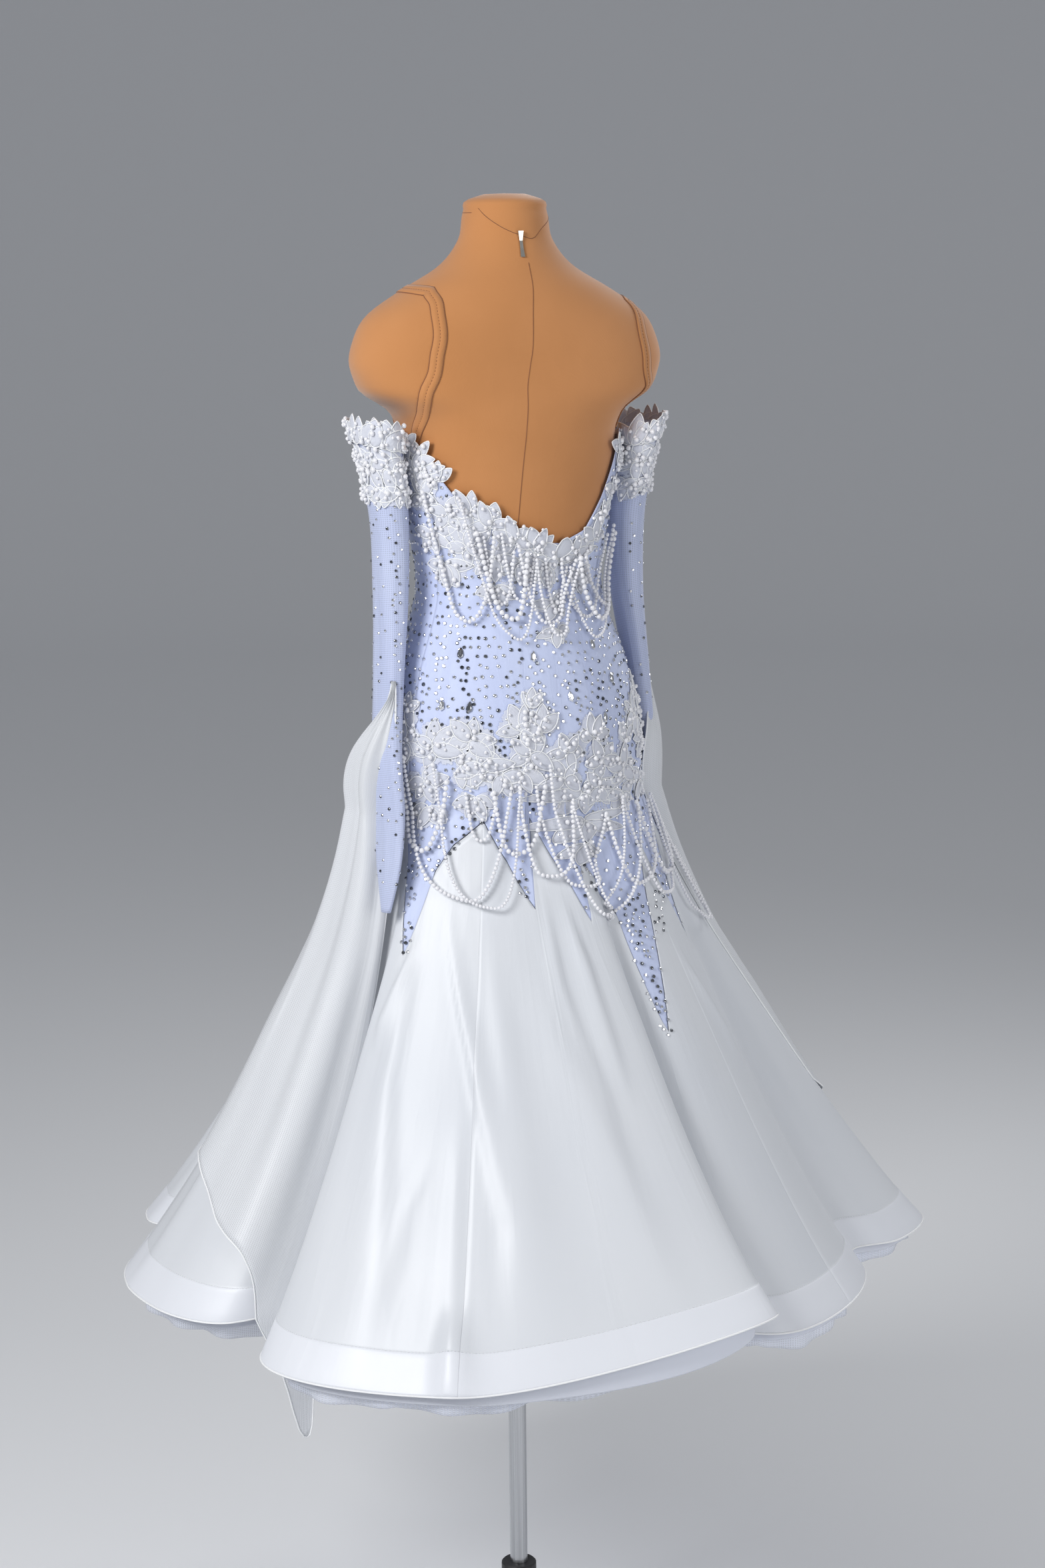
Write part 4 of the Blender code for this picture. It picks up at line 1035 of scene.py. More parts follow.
class FoldedSkirt(Surface):
    """The skirt with its folds: the dress's cloth moved out by ridges that run down from the godets' tops.

    A ridge is depth·exp(-(distance / width)²), with its own width on each side and the distance measured
    along the hem, so that it narrows with the cloth as it rises. It swells from its top and fades at its end.
    """

    plain_step = 0.085
    most_slant = 0.9

    def __init__(self, dress: DressSurface, view: PhotoView) -> None:
        """Finds the folds of the back from the photograph and adds plain ones on the hidden sides.

        Args:
            dress: The cloth that the folds are on.
            view: The photograph's camera.
        """
        self.dress = dress
        self.second_hem = float(view.locate(dress, np.array([[1040.0, 1960.0]]))[0][0])
        self.lines: list[tuple[Array, Array, float, float, float]] = []
        for fold in BACK_FOLDS:
            u, v = view.locate(dress, np.array(fold.pixels, float))
            order = np.argsort(-v)
            u, v = u[order], v[order]
            kept = 1 + int(np.cumprod(np.abs(np.diff(u)) < self.most_slant * np.abs(np.diff(v))).sum())
            if kept > 1:
                self.lines.append((v[:kept][::-1], u[:kept][::-1], fold.left, fold.right, fold.depth))
        rng = np.random.default_rng(7)
        for low_u in np.arange(dress.place_of(168.0), dress.place_of(368.0), self.plain_step):
            low_u = low_u + rng.uniform(-0.02, 0.02)
            top_u = low_u + rng.uniform(-0.03, 0.03)
            heights = np.array([rng.uniform(0.60, 0.70), 0.86, rng.uniform(1.02, 1.15)])
            places = np.array([low_u, 0.5 * (low_u + top_u) + rng.uniform(-0.008, 0.008), top_u])
            left, right = rng.uniform(0.012, 0.040), rng.uniform(0.012, 0.040)
            self.lines.append((heights, places, left, right, rng.uniform(0.004, 0.007)))

    def back_grid(self) -> tuple[Array, Array]:
        """The values of u and v over the side that the photograph shows."""
        return self.dress.back_grid()

    def lift(self, u: Array, v: Array) -> Array:
        """How far the folds stand out at places u and heights v."""
        u, v = np.broadcast_arrays(np.asarray(u, float), np.asarray(v, float))
        total = 0.0012 * ease(v, FLARE_Z, 1.05)
        for heights, places, left, right, depth in self.lines:
            long = heights[-1] - heights[0]
            near = (v > heights[0] - 0.16) & (v < heights[-1] + 0.05)
            if not near.any():
                continue
            away = u[near] - np.interp(v[near], heights, places)
            away = (away + self.dress.length / 2) % self.dress.length - self.dress.length / 2
            wide = np.where(away < 0, left, right) * (0.75 + 0.5 * ease(v[near], heights[-1], heights[0]))
            top = ease(v[near], heights[-1] + 0.02, heights[-1] - 0.45 * long)
            end = ease(v[near], heights[0] - min(0.15, 0.6 * long), heights[0] + 0.1 * long)
            total[near] += depth * top * end * np.exp(-((away / wide) ** 2))
        return total

    def point(self, u: Array, v: Array) -> Array:
        """The points at places u and heights v."""
        return self.dress.off(u, v, self.lift(u, v))


@dataclass
class Skirt:
    """The eight godet panels with their horsehair hems, the underskirt and the net petticoat."""

    dress: DressSurface
    folds: FoldedSkirt
    finishes: Finishes
    column_step: float = 0.0092
    rows: int = 68
    wall: float = 0.0009
    band: float = 0.040
    band_proud: float = 0.0009
    top_gap: float = 0.0006

    def panel_points(self, start: float, end: float) -> Array:
        """A panel's points from the hem up to the yoke's edge, its hem band standing proud."""
        columns = max(8, round((end - start) / self.column_step))
        places = np.concatenate([[start - 0.0012, start - 0.0001], np.linspace(start, end, columns - 2)[1:], [end]])
        places[-2] = end - 0.0010
        lap = np.where(np.arange(columns) == 0, -0.0008, 0.0)
        top = self.dress.yoke_edge(places) - self.top_gap * 2
        share = np.linspace(0, 1, self.rows) ** 1.05
        band_rows = HEM_Z + np.array([0.0, 0.002, 0.012, 0.024, 0.034, 0.038, 0.0395, 0.0405])
        upper = HEM_Z + 0.043 + share[:, None] * (top - HEM_Z - 0.043)
        heights = np.concatenate([np.repeat(band_rows[:, None], columns, 1), upper])
        proud = self.band_proud * (1 - ease(heights - HEM_Z, self.band - 0.0012, self.band + 0.0004))
        roll = 0.0006 * (1 - ease(heights - HEM_Z, 0.0, 0.003))
        return self.folds.off(np.broadcast_to(places, heights.shape), heights, proud - roll + lap)

    def build_panels(self) -> None:
        """The eight outer panels, each in place of its solid."""
        knots = self.dress.places
        starts = list(knots[2:-1:4])
        ends = starts[1:] + [starts[0] + self.dress.length]
        satin = self.finishes.get(SATIN)
        for number, (start, end) in enumerate(zip(starts, ends), 1):
            points = self.panel_points(start, end)
            # Rows of the hem band, where the satin's colour is painted lighter as sheen.
            band = np.repeat((np.arange(len(points)) < 7)[:, None], points.shape[1], 1).astype(float)
            panel = cloth_grid(f"skirt_godet_{number}", points, satin, self.wall, values={"band": band})
            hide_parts(f"skirt_panel_{number}")

    def flared(self, inner: Array, outer: Array, heights: Array, share: float, start: float, end: float) -> Array:
        """An under layer whose lower end flares out towards the outer skirt, by a share that grows downwards."""
        blend = (share * ease(heights, start, end))[..., None]
        return inner * (1 - blend) + outer * blend

    def build_under(self) -> None:
        """The satin underskirt with its own band, and the net petticoat, whole rounds."""
        under = DressSurface(UNDERSKIRT)
        places = np.linspace(0, self.dress.length, 281)[:-1]
        low = HEM_Z - 0.013 - 0.024 * np.exp(-(((places - self.folds.second_hem) / 0.14) ** 2))
        band = low + np.array([0.0, 0.002, 0.02, 0.038, 0.0405])[:, None]
        heights = np.concatenate([band, np.repeat(np.linspace(0.64, YOKE_TOP_Z, 34)[:, None], len(places), 1)])
        across = np.broadcast_to(places, heights.shape)
        proud = 0.0007 * (1 - ease(heights - low, 0.038, 0.0402))
        points = under.off(across, heights, proud)
        outer = self.dress.off(across, heights, -0.008)
        points = self.flared(points, outer, heights, 0.88, 0.72, low + 0.02)
        layer = cloth_grid("underskirt_layer", points, self.finishes.get(UNDER_SATIN), self.wall, closed=True)
        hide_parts("underskirt")
        net = NetSurface()
        places = np.linspace(0, self.dress.length, 421)[:-1]
        scallop = np.abs(np.sin(math.pi * places / self.dress.length * 24)) ** 0.6
        slow = 0.5 + 0.5 * np.sin(2 * math.pi * places / self.dress.length * 7 + 1.0)
        share = np.linspace(0, 1, 22)[:, None] ** 1.3
        low = HEM_Z - 0.022 - 0.016 * scallop * (0.35 + 0.65 * slow)
        heights = low + share * (NET_TOP_Z - low)
        across = np.broadcast_to(places, heights.shape)
        flutes = 0.005 * np.sin(2 * math.pi * places / 0.075) * (1 - share) ** 3
        points = net.off(across, heights, -0.002)
        outer = self.dress.off(across, heights, flutes - 0.017)
        points = self.flared(points, outer, heights, 0.88, 0.68, HEM_Z)
        tulle = cloth_grid("petticoat_tulle_layer", points, self.finishes.get(TULLE), 0.0006, closed=True)
        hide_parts("petticoat_net")

    def build_hem_edge(self) -> None:
        """The rolled edge at the bottom of the outer skirt's band."""
        u = np.linspace(0, self.dress.length, 900, endpoint=False)
        v = np.full(u.shape, HEM_Z)
        path = self.folds.off(u, v, 0.0002)
        edge = tubes(
            "hem_rolled_edge", path[None], self.folds.normal(u, v)[None], 0.0013, self.finishes.get(LACE_CORD), closed=True
        )

    def build_stitches(self) -> None:
        """The line of stitches along the top of the hem's band, as short threads."""
        step = 0.0042
        places = np.arange(0, self.dress.length, step)
        share = np.linspace(-0.34, 0.34, 4) * step
        u = places[:, None] + share[None]
        v = np.full(u.shape, HEM_Z + self.band + 0.0006)
        paths = self.folds.off(u, v, 0.0004)
        threads = tubes(
            "hem_stitches", paths, self.folds.normal(u, v), 0.00032, self.finishes.get(LACE_CORD), sides=4
        )

    def build(self) -> None:
        """All of the skirt."""
        self.build_panels()
        self.build_under()
        self.build_hem_edge()
        self.build_stitches()


class BodiceCloth(Surface):
    """The bodice's stretch cloth with soft drag lines at the waist."""

    def __init__(self, dress: DressSurface) -> None:
        """Keeps the cloth that it is on."""
        self.dress = dress

    def lift(self, u: Array, v: Array) -> Array:
        """Drag lines: low waves that slant down to the sides, strongest at the waist."""
        angle = np.radians(self.dress.body_angle(u))
        slant = v + 0.05 * np.cos(angle) ** 2
        wave = 0.5 + 0.5 * np.sin(2 * math.pi * slant / 0.034 + 1.5 * np.sin(3 * angle))
        return 0.0009 * wave * np.exp(-(((v - WAIST_Z) / 0.06) ** 2))

    def point(self, u: Array, v: Array) -> Array:
        """The points at places u and heights v."""
        return self.dress.off(u, v, self.lift(u, v))


@dataclass
class Bodice:
    """The four panels of the bodice and yoke."""

    dress: DressSurface
    cloth: BodiceCloth
    finishes: Finishes
    wall: float = 0.0010
    angles: tuple[float, ...] = (-28.0, 26.0, 154.0, 208.0, 332.0)
    names: tuple[str, ...] = ("bodice_side_left", "bodice_back", "bodice_side_right", "bodice_front")
    step: float = 0.0165
    rows: int = 80

    def build(self) -> None:
        """Each panel from its pointed lower edge to the neckline."""
        knit = self.finishes.get(LILAC_KNIT)
        seams = self.dress.place_of(np.array(self.angles))
        for name, start, end in zip(self.names, seams, seams[1:]):
            places = np.linspace(start + 0.0008, end - 0.0008, max(8, round((end - start) / self.step)))
            turns = [a for a in self.dress.place_of(column(YOKE_EDGE, "at")) if start < a < end]
            places = np.unique(np.concatenate([places, turns]))
            low = self.dress.yoke_edge(places) + 0.0004
            top = self.dress.neck_edge(places)
            share = np.linspace(0, 1, self.rows)[:, None]
            heights = low + share * (top - low)
            points = self.cloth.point(np.broadcast_to(places, heights.shape), heights)
            panel = cloth_grid(name + "_cloth", points, knit, self.wall)
            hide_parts(name)
            rows = np.linalg.norm(np.diff(points[..., :2], axis=1), axis=-1).sum(1).max()
            columns = np.linalg.norm(np.diff(points, axis=0), axis=-1).sum(0).max()
            flat = (float(rows) + 0.005, float(columns) + 0.005)
            a, b = points[1:, 1:] - points[:-1, :-1], points[1:, :-1] - points[:-1, 1:]
            area = float(0.5 * np.linalg.norm(np.cross(a, b), axis=-1).sum())
            area = float(np.clip(area, 0.31 * flat[0] * flat[1], 0.99 * flat[0] * flat[1]))
            LOG.info("%s: cut %.2f x %.2f m", name, *flat)


class Station(NamedTuple):
    """One level of the sleeves: centres out and back, half widths and the long axis's direction."""

    height: float
    left_out: float
    left_back: float
    right_out: float
    right_back: float
    long: float
    short: float
    turn: float


SLEEVE_STATIONS = (
    Station(1.090, 0.2060, 0.100, 0.2320, -0.012, 0.0080, 0.0045, 114),
    Station(1.140, 0.1980, 0.089, 0.2150, -0.012, 0.0200, 0.0070, 114),
    Station(1.200, 0.1900, 0.074, 0.2010, -0.012, 0.0260, 0.0095, 112),
    Station(1.280, 0.1870, 0.056, 0.1920, -0.010, 0.0270, 0.0115, 108),
    Station(1.380, 0.1770, 0.036, 0.1800, -0.008, 0.0280, 0.0150, 104),
    Station(1.480, 0.1668, 0.020, 0.1665, -0.006, 0.0300, 0.0200, 98),
    Station(1.600, 0.1658, 0.010, 0.1660, -0.002, 0.0360, 0.0240, 92),
    Station(1.650, 0.1713, 0.004, 0.1715, 0.000, 0.0500, 0.0260, 90),
    Station(1.680, 0.1763, 0.000, 0.1765, 0.000, 0.0600, 0.0290, 90),
)
SLEEVE_TOP_Z = 1.680
SLEEVE_TIP_Z = 1.090


class Hand(Enum):
    """The wearer's side, as the sign of its x."""

    LEFT = 1
    RIGHT = -1


class SleeveSurface(Surface):
    """An empty, flattened sleeve. u is an angle round it, 0 being away from the body, and v a height."""

    u_step = 0.5

    def __init__(self, hand: Hand) -> None:
        """Reads the stations of one side.

        Args:
            hand: Which sleeve.
        """
        self.side = hand.value
        rows = {name: column(SLEEVE_STATIONS, name) for name in Station._fields}
        key = hand.name.lower()
        self.height, self.long, self.short = rows["height"], rows["long"], rows["short"]
        self.out, self.back = rows[key + "_out"], rows[key + "_back"]
        self.turn = rows["turn"] if self.side > 0 else np.full(len(SLEEVE_STATIONS), 90.0)

    def creases(self, u: Array, v: Array) -> Array:
        """Long soft creases down the sleeve, which stand out under 2 mm and fade at its rim."""
        a = np.radians(u)
        wave = np.sin(5 * a + 7 * v) + 0.6 * np.sin(9 * a - 11 * v + 1.0)
        return (0.0006 + 0.0004 * wave) * (1 - ease(v, 1.62, 1.66)) * ease(v, 1.10, 1.16)

    def point(self, u: Array, v: Array) -> Array:
        """The points at angles u and heights v: an ellipse whose long axis is turned from the side."""
        angle, height = np.broadcast_arrays(np.asarray(u, float), np.asarray(v, float))
        out, back, long, short, turn = (
            smooth(height, self.height, values) for values in (self.out, self.back, self.long, self.short, self.turn)
        )
        more = self.creases(angle, height)
        a, t = np.radians(angle), np.radians(turn)
        p, q = (long + more) * np.sin(a), (short + more) * np.cos(a)
        x = out + p * np.cos(t) + q * np.sin(t)
        y = back + p * np.sin(t) - q * np.cos(t)
        return np.stack([self.side * x, y, height + 0.35 * q * np.clip((height - 1.60) / 0.08, 0, 1)], -1)

    def normal(self, u: Array, v: Array) -> Array:
        """Outward normals, which mirroring turns round."""
        return super().normal(u, v) * self.side


class FloatSurface(Surface):
    """An organza float: gathered on the sleeve at the elbow, then laid down the skirt. u is a share across."""

    blend_height = 0.150
    top_z = 1.378
    hang_z = np.array([0.400, 0.580, 0.900, 1.020, 1.150, 1.280, 1.400])
    hang = np.array([0.012, 0.013, 0.015, 0.022, 0.034, 0.046, 0.052])

    def __init__(self, sleeve: SleeveSurface, skirt: FoldedSkirt, first: float, last: float) -> None:
        """Keeps what it hangs from and lies on.

        Args:
            sleeve: The sleeve that it is let into.
            skirt: The skirt that it lies on.
            first: The place of its edge at the valley.
            last: The place of its other edge.
        """
        self.sleeve, self.skirt, self.first, self.last = sleeve, skirt, first, last
        self.near = 1.0 if sleeve.side > 0 else 0.5
        self.hug = 0.6 if sleeve.side > 0 else 0.9
        self.apex = 62.0 if sleeve.side > 0 else 8.0

    def folds(self, u: Array, v: Array) -> Array:
        """Soft folds from the gathers: a few waves across, broad below and close at the top."""
        wave = 1 + np.sin(2 * math.pi * (2.6 * u + 0.35 * np.sin(3.1 * u) + 0.3 * (v - 1.0)))
        fine = 1 + np.sin(2 * math.pi * (7.3 * u + 0.2 * v))
        return 0.0050 * wave + 0.0008 * fine * ease(v, 0.55, 0.9)

    def point(self, u: Array, v: Array) -> Array:
        """The points at shares u across and heights v."""
        share, height = np.broadcast_arrays(np.asarray(u, float), np.asarray(v, float))
        hang = smooth(height, self.hang_z, self.hang)
        place = self.first + (self.last - self.first) * share
        level = self.skirt.normal(place, height) * np.array([1.0, 1.0, 0.0])
        edges = (1 - self.hug * (1 - ease(share, 0.0, 0.3))) * (1 - self.hug * ease(share, 0.7, 1.0))
        hang = self.near * hang * edges + self.folds(share, height) * edges
        free = self.skirt.point(place, height) + unit(level) * hang[..., None]
        top = ease(height, self.top_z - 0.13, self.top_z - 0.002)
        angle = self.sleeve.side * (60 * (1 - 2 * share) * (1 - 0.9 * top) + self.apex * top)
        seat_height = np.maximum(height, SLEEVE_TIP_Z)
        gathers = 0.0012 * (1 + np.sin(2 * math.pi * 9 * share))
        seat = self.sleeve.off(angle, seat_height, 0.0012 + gathers)
        blend = (1 - ease(height, self.top_z - self.blend_height, self.top_z))[..., None]
        return seat * (1 - blend) + free * blend

    def normal(self, u: Array, v: Array) -> Array:
        """Outward normals: u runs clockwise, so the slopes' own is turned round."""
        return -super().normal(u, v)


@dataclass
class Sleeves:
    """Both sleeves with their floats."""

    dress: DressSurface
    folds: FoldedSkirt
    finishes: Finishes
    surfaces: dict[Hand, SleeveSurface] = field(default_factory=dict)
    around: int = 64
    rows: int = 88
    tail_at: tuple[float, ...] = (0.00, 0.05, 0.10, 0.15, 0.24, 0.55, 1.00)
    tail_z: tuple[float, ...] = (0.455, 0.410, 0.420, 0.500, 0.600, 0.700, 0.790)

    def build_sleeve(self, hand: Hand) -> SleeveSurface:
        """One sleeve, open at its top rim and its point."""
        surface = SleeveSurface(hand)
        angles = surface.side * np.arange(self.around) * 360 / self.around
        heights = np.repeat(np.linspace(SLEEVE_TIP_Z, SLEEVE_TOP_Z, self.rows)[:, None], self.around, 1)
        points = surface.point(np.broadcast_to(angles, heights.shape), heights)
        name = f"sleeve_{hand.name.lower()}"
        sleeve = cloth_grid(name + "_net", points, self.finishes.get(LILAC_NET), 0.0007, closed=True)
        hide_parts(name)
        self.surfaces[hand] = surface
        return surface

    def build_float(self, hand: Hand, sleeve: SleeveSurface, first: float, last: float) -> None:
        """One float with its rolled edge.

        Args:
            hand: Which side.
            sleeve: The sleeve that it is let into.
            first: The place of its edge at the valley.
            last: The place of its other edge.
        """
        surface = FloatSurface(sleeve, self.folds, first, last)
        u = np.linspace(0, 1, 60)
        lowest = smooth(u, np.array(self.tail_at), np.array(self.tail_z))
        share = np.linspace(0, 1, 92)[:, None]
        heights = lowest + share * (FloatSurface.top_z - lowest)
        uu = np.broadcast_to(u, heights.shape)
        points = surface.point(uu, heights)
        name = f"float_{hand.name.lower()}"
        cloth = cloth_grid(name + "_organza", points, self.finishes.get(ORGANZA), 0.0005, inwards=True)
        normals = surface.normal(uu, heights)
        rim = np.concatenate([points[::-1, 0], points[0, 1:], points[1:, -1]])
        rim_normal = np.concatenate([normals[::-1, 0], normals[0, 1:], normals[1:, -1]])
        edge = tubes(name + "_rolled_edge", rim[None], rim_normal[None], 0.0011, self.finishes.get(LACE_CORD))
        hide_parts(name)

    def build(self) -> None:
        """Both sleeves and both floats."""
        knots = self.dress.places
        left, right = self.build_sleeve(Hand.LEFT), self.build_sleeve(Hand.RIGHT)
        self.build_float(Hand.LEFT, left, knots[-1], knots[-3])
        self.build_float(Hand.RIGHT, right, knots[12], knots[10])


class Spray(NamedTuple):
    """A fan of lace leaves: its root's pixel, leaf length, number of leaves, middle direction and spread."""

    x: float
    y: float
    leaf: float
    leaves: int
    towards: float
    spread: float


NECK_SPRAYS = (
    Spray(628, 690, 0.030, 4, 150, 160), Spray(634, 742, 0.030, 5, 200, 240), Spray(655, 720, 0.028, 4, 70, 160),
    Spray(650, 800, 0.030, 5, 260, 200), Spray(672, 770, 0.030, 5, 30, 300), Spray(668, 845, 0.030, 5, 270, 150),
    Spray(705, 770, 0.034, 5, 60, 220), Spray(700, 820, 0.030, 5, 200, 300), Spray(735, 790, 0.034, 5, 60, 200),
    Spray(742, 838, 0.032, 5, 260, 260), Spray(742, 880, 0.028, 4, 270, 140), Spray(770, 812, 0.030, 5, 80, 220),
    Spray(781, 845, 0.028, 4, 250, 200), Spray(805, 830, 0.034, 4, 90, 70), Spray(818, 850, 0.030, 5, 270, 200),
    Spray(836, 838, 0.028, 4, 80, 160), Spray(829, 905, 0.026, 4, 260, 200), Spray(836, 945, 0.022, 4, 270, 160),
    Spray(862, 830, 0.028, 5, 80, 200), Spray(868, 860, 0.026, 4, 250, 200), Spray(890, 808, 0.028, 4, 60, 200),
    Spray(905, 775, 0.026, 4, 40, 160), Spray(918, 735, 0.024, 4, 40, 160), Spray(932, 700, 0.022, 3, 60, 140),
)
HIP_SPRAYS = (
    Spray(611, 1062, 0.026, 4, 120, 240), Spray(612, 1115, 0.026, 4, 240, 240), Spray(650, 1120, 0.034, 6, 60, 280),
    Spray(638, 1172, 0.032, 5, 230, 240), Spray(644, 1210, 0.028, 4, 270, 130), Spray(705, 1112, 0.034, 6, 80, 280),
    Spray(722, 1148, 0.036, 6, 20, 320), Spray(692, 1150, 0.032, 5, 190, 180), Spray(714, 1196, 0.032, 4, 268, 120),
    Spray(752, 1162, 0.032, 5, 300, 240), Spray(797, 1062, 0.028, 3, 92, 60), Spray(784, 1095, 0.034, 6, 130, 240),
    Spray(812, 1098, 0.034, 6, 40, 200), Spray(795, 1132, 0.036, 6, 240, 320), Spray(785, 1160, 0.030, 5, 250, 200),
    Spray(852, 1128, 0.030, 5, 120, 260), Spray(846, 1168, 0.032, 5, 200, 260), Spray(872, 1190, 0.032, 5, 260, 220),
    Spray(876, 1232, 0.030, 5, 268, 200), Spray(879, 1266, 0.026, 4, 270, 120), Spray(889, 1105, 0.028, 4, 100, 160),
    Spray(903, 1140, 0.032, 5, 60, 260), Spray(897, 1180, 0.030, 5, 300, 240), Spray(938, 1112, 0.026, 3, 85, 90),
    Spray(934, 1150, 0.032, 5, 90, 280), Spray(932, 1190, 0.028, 5, 260, 220), Spray(958, 1170, 0.028, 4, 280, 240),
)
CRYSTAL_PIXELS = ((691, 981), (663, 1059), (704, 1062), (800, 986), (856, 1046), (907, 1077), (916, 1018), (888, 968))


@dataclass
class Leaves:
    """Lace leaves laid on a surface: where each grows from, its direction, length and width."""

    u: Array
    v: Array
    towards: Array
    length: Array
    width: Array
    rise: Array

    @staticmethod
    def from_sprays(u: Array, v: Array, rows: Sequence[Spray], seed: int) -> "Leaves":
        """The leaves of sprays whose roots are at u and v.

        Args:
            u: Roots across.
            v: Roots up.
            rows: The sprays.
            seed: For small differences between leaves.

        Returns:
            All the leaves.
        """
        rng = np.random.default_rng(seed)
        counts = column(rows, "leaves").astype(int)
        owner = np.repeat(np.arange(len(rows)), counts)
        within = np.arange(len(owner)) - np.repeat(np.cumsum(counts) - counts, counts)
        share = within / np.maximum(counts[owner] - 1, 1) - 0.5
        spread = column(rows, "spread")[owner]
        towards = column(rows, "towards")[owner] + share * spread + rng.uniform(-9, 9, len(owner))
        length = column(rows, "leaf")[owner] * rng.uniform(0.82, 1.12, len(owner))
        width = length * rng.uniform(0.24, 0.30, len(owner))
        rise = 0.0009 + 0.0006 * (within % 3) + rng.uniform(0, 0.0003, len(owner))
        return Leaves(u[owner], v[owner], towards, length, width, rise)

    def on(self, surface: Surface, along: Array, aside: Array, out: Array) -> tuple[Array, Array]:
        """Points at metres along and aside of each leaf's root, laid on the surface.

        Args:
            surface: What the leaves lie on.
            along: Metres from the root, with a row for each leaf.
            aside: Metres to the leaf's side.
            out: Metres off the surface.

        Returns:
            The points and the surface's normals there.
        """
        shape = (-1,) + (1,) * (along.ndim - 1)
        t = np.radians(self.towards).reshape(shape)
        u0, v0 = self.u.reshape(shape), self.v.reshape(shape)
        across, up = surface.reach(u0, v0)
        hand = getattr(surface, "side", 1)
        right = along * np.cos(t) - aside * np.sin(t)
        rise = along * np.sin(t) + aside * np.cos(t)
        u, v = u0 - hand * right / across, v0 + rise / up
        normal = surface.normal(u, v)
        return surface.point(u, v) + normal * out[..., None], normal


@dataclass
class LaceMaker:
    """Makes corded leaves, with a pearl here and there, as one piece and its cords."""

    finishes: Finishes
    sides: int = 5
    ends: int = 7
    crown: float = 0.0005

    def outline(self, share: Array) -> Array:
        """A leaf's half width along it, from 0 to 1 and back: sin(π·s^0.8)^0.75, with a narrow foot."""
        return np.sin(math.pi * np.clip(share, 0, 1) ** 0.82) ** 0.72

    def build(self, name: str, surface: Surface, leaves: Leaves, nodes: Sequence[str]) -> bpy.types.Object:
        """The leaves' cloth, crowned and ribbed, in place of a lace solid, and the cords round them.

        Args:
            name: The piece's name.
            surface: What they lie on.
            leaves: Where they are.
            nodes: The solids that they stand for.

        Returns:
            The leaves' object.
        """
        count = len(leaves.u)
        s = np.linspace(0.02, 0.98, self.ends)[None, :, None]
        t = np.linspace(-1, 1, self.sides)[None, None, :]
        length, width = leaves.length[:, None, None], leaves.width[:, None, None]
        bend = 0.12 * length * s**2 * np.sign(np.sin(np.arange(count) * 2.4))[:, None, None]
        along = np.broadcast_to(s * length, (count, self.ends, self.sides))
        aside = t * width * self.outline(s) + bend
        out = leaves.rise[:, None, None] + self.crown * (1 - t**2) * self.outline(s)
        points, _ = leaves.on(surface, along, np.broadcast_to(aside, along.shape), out)
        one = grid_faces(self.ends, self.sides)
        faces = (one[None] + (np.arange(count) * self.ends * self.sides)[:, None, None]).reshape(-1, 4)
        uv = np.stack([np.broadcast_to(aside, along.shape), along], -1).reshape(-1, 2)
        hand = getattr(surface, "side", 1)
        cloth = make_mesh(name, points, faces, self.finishes.get(LACE), uv[faces.ravel()])
        shell = cloth.modifiers.new("wall", "SOLIDIFY")
        shell.thickness, shell.offset = 0.0003, 0.0
        ring = np.linspace(0, 2 * math.pi, 16, endpoint=False)
        share = (0.5 - 0.5 * np.cos(ring))[None]
        side = np.where(ring < math.pi, 1.0, -1.0)[None]
        length, width = leaves.length[:, None], leaves.width[:, None]
        bend = 0.12 * length * share**2 * np.sign(np.sin(np.arange(count) * 2.4))[:, None]
        rim, normal = leaves.on(
            surface,
            share * length,
            side * width * self.outline(share) + bend,
            np.broadcast_to(leaves.rise[:, None] + 0.0003, (count, len(ring))),
        )
        cords = tubes(
            name + "_cords", rim, normal, 0.00078, self.finishes.get(LACE_CORD), closed=True, sides=4
        )
        if nodes:
            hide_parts(*nodes)
        LOG.info("%s: %d leaves, hand %d", name, count, hand)
        return cloth

    def pearls_on(self, surface: Surface, leaves: Leaves) -> tuple[Array, Array]:
        """Pearls on the leaves, up to four along each.

        Args:
            surface: What the leaves lie on.
            leaves: The leaves.

        Returns:
            The pearls' centres and radii.
        """
        count = len(leaves.u)
        shares = np.array([0.18, 0.45, 0.70, 0.93])
        along = leaves.length[:, None] * shares
        rng = np.random.default_rng(count)
        radius = rng.choice([0.0020, 0.0027, 0.0035], (count, 4), p=[0.4, 0.37, 0.23])
        aside = rng.uniform(-0.5, 0.5, (count, 4)) * leaves.width[:, None]
        keep = rng.random((count, 4)) < np.array([0.7, 0.7, 0.6, 0.35])
        out = leaves.rise[:, None] + self.crown + 0.72 * radius
        points, _ = leaves.on(surface, along, aside, out)
        return points[keep], radius[keep]


class Loop(NamedTuple):
    """A string of pearls by its pixels: both ends, its lowest point, the pearls' radius and its layer."""

    x1: float
    y1: float
    x2: float
    y2: float
    low_x: float
    low_y: float
    radius: float
    layer: int


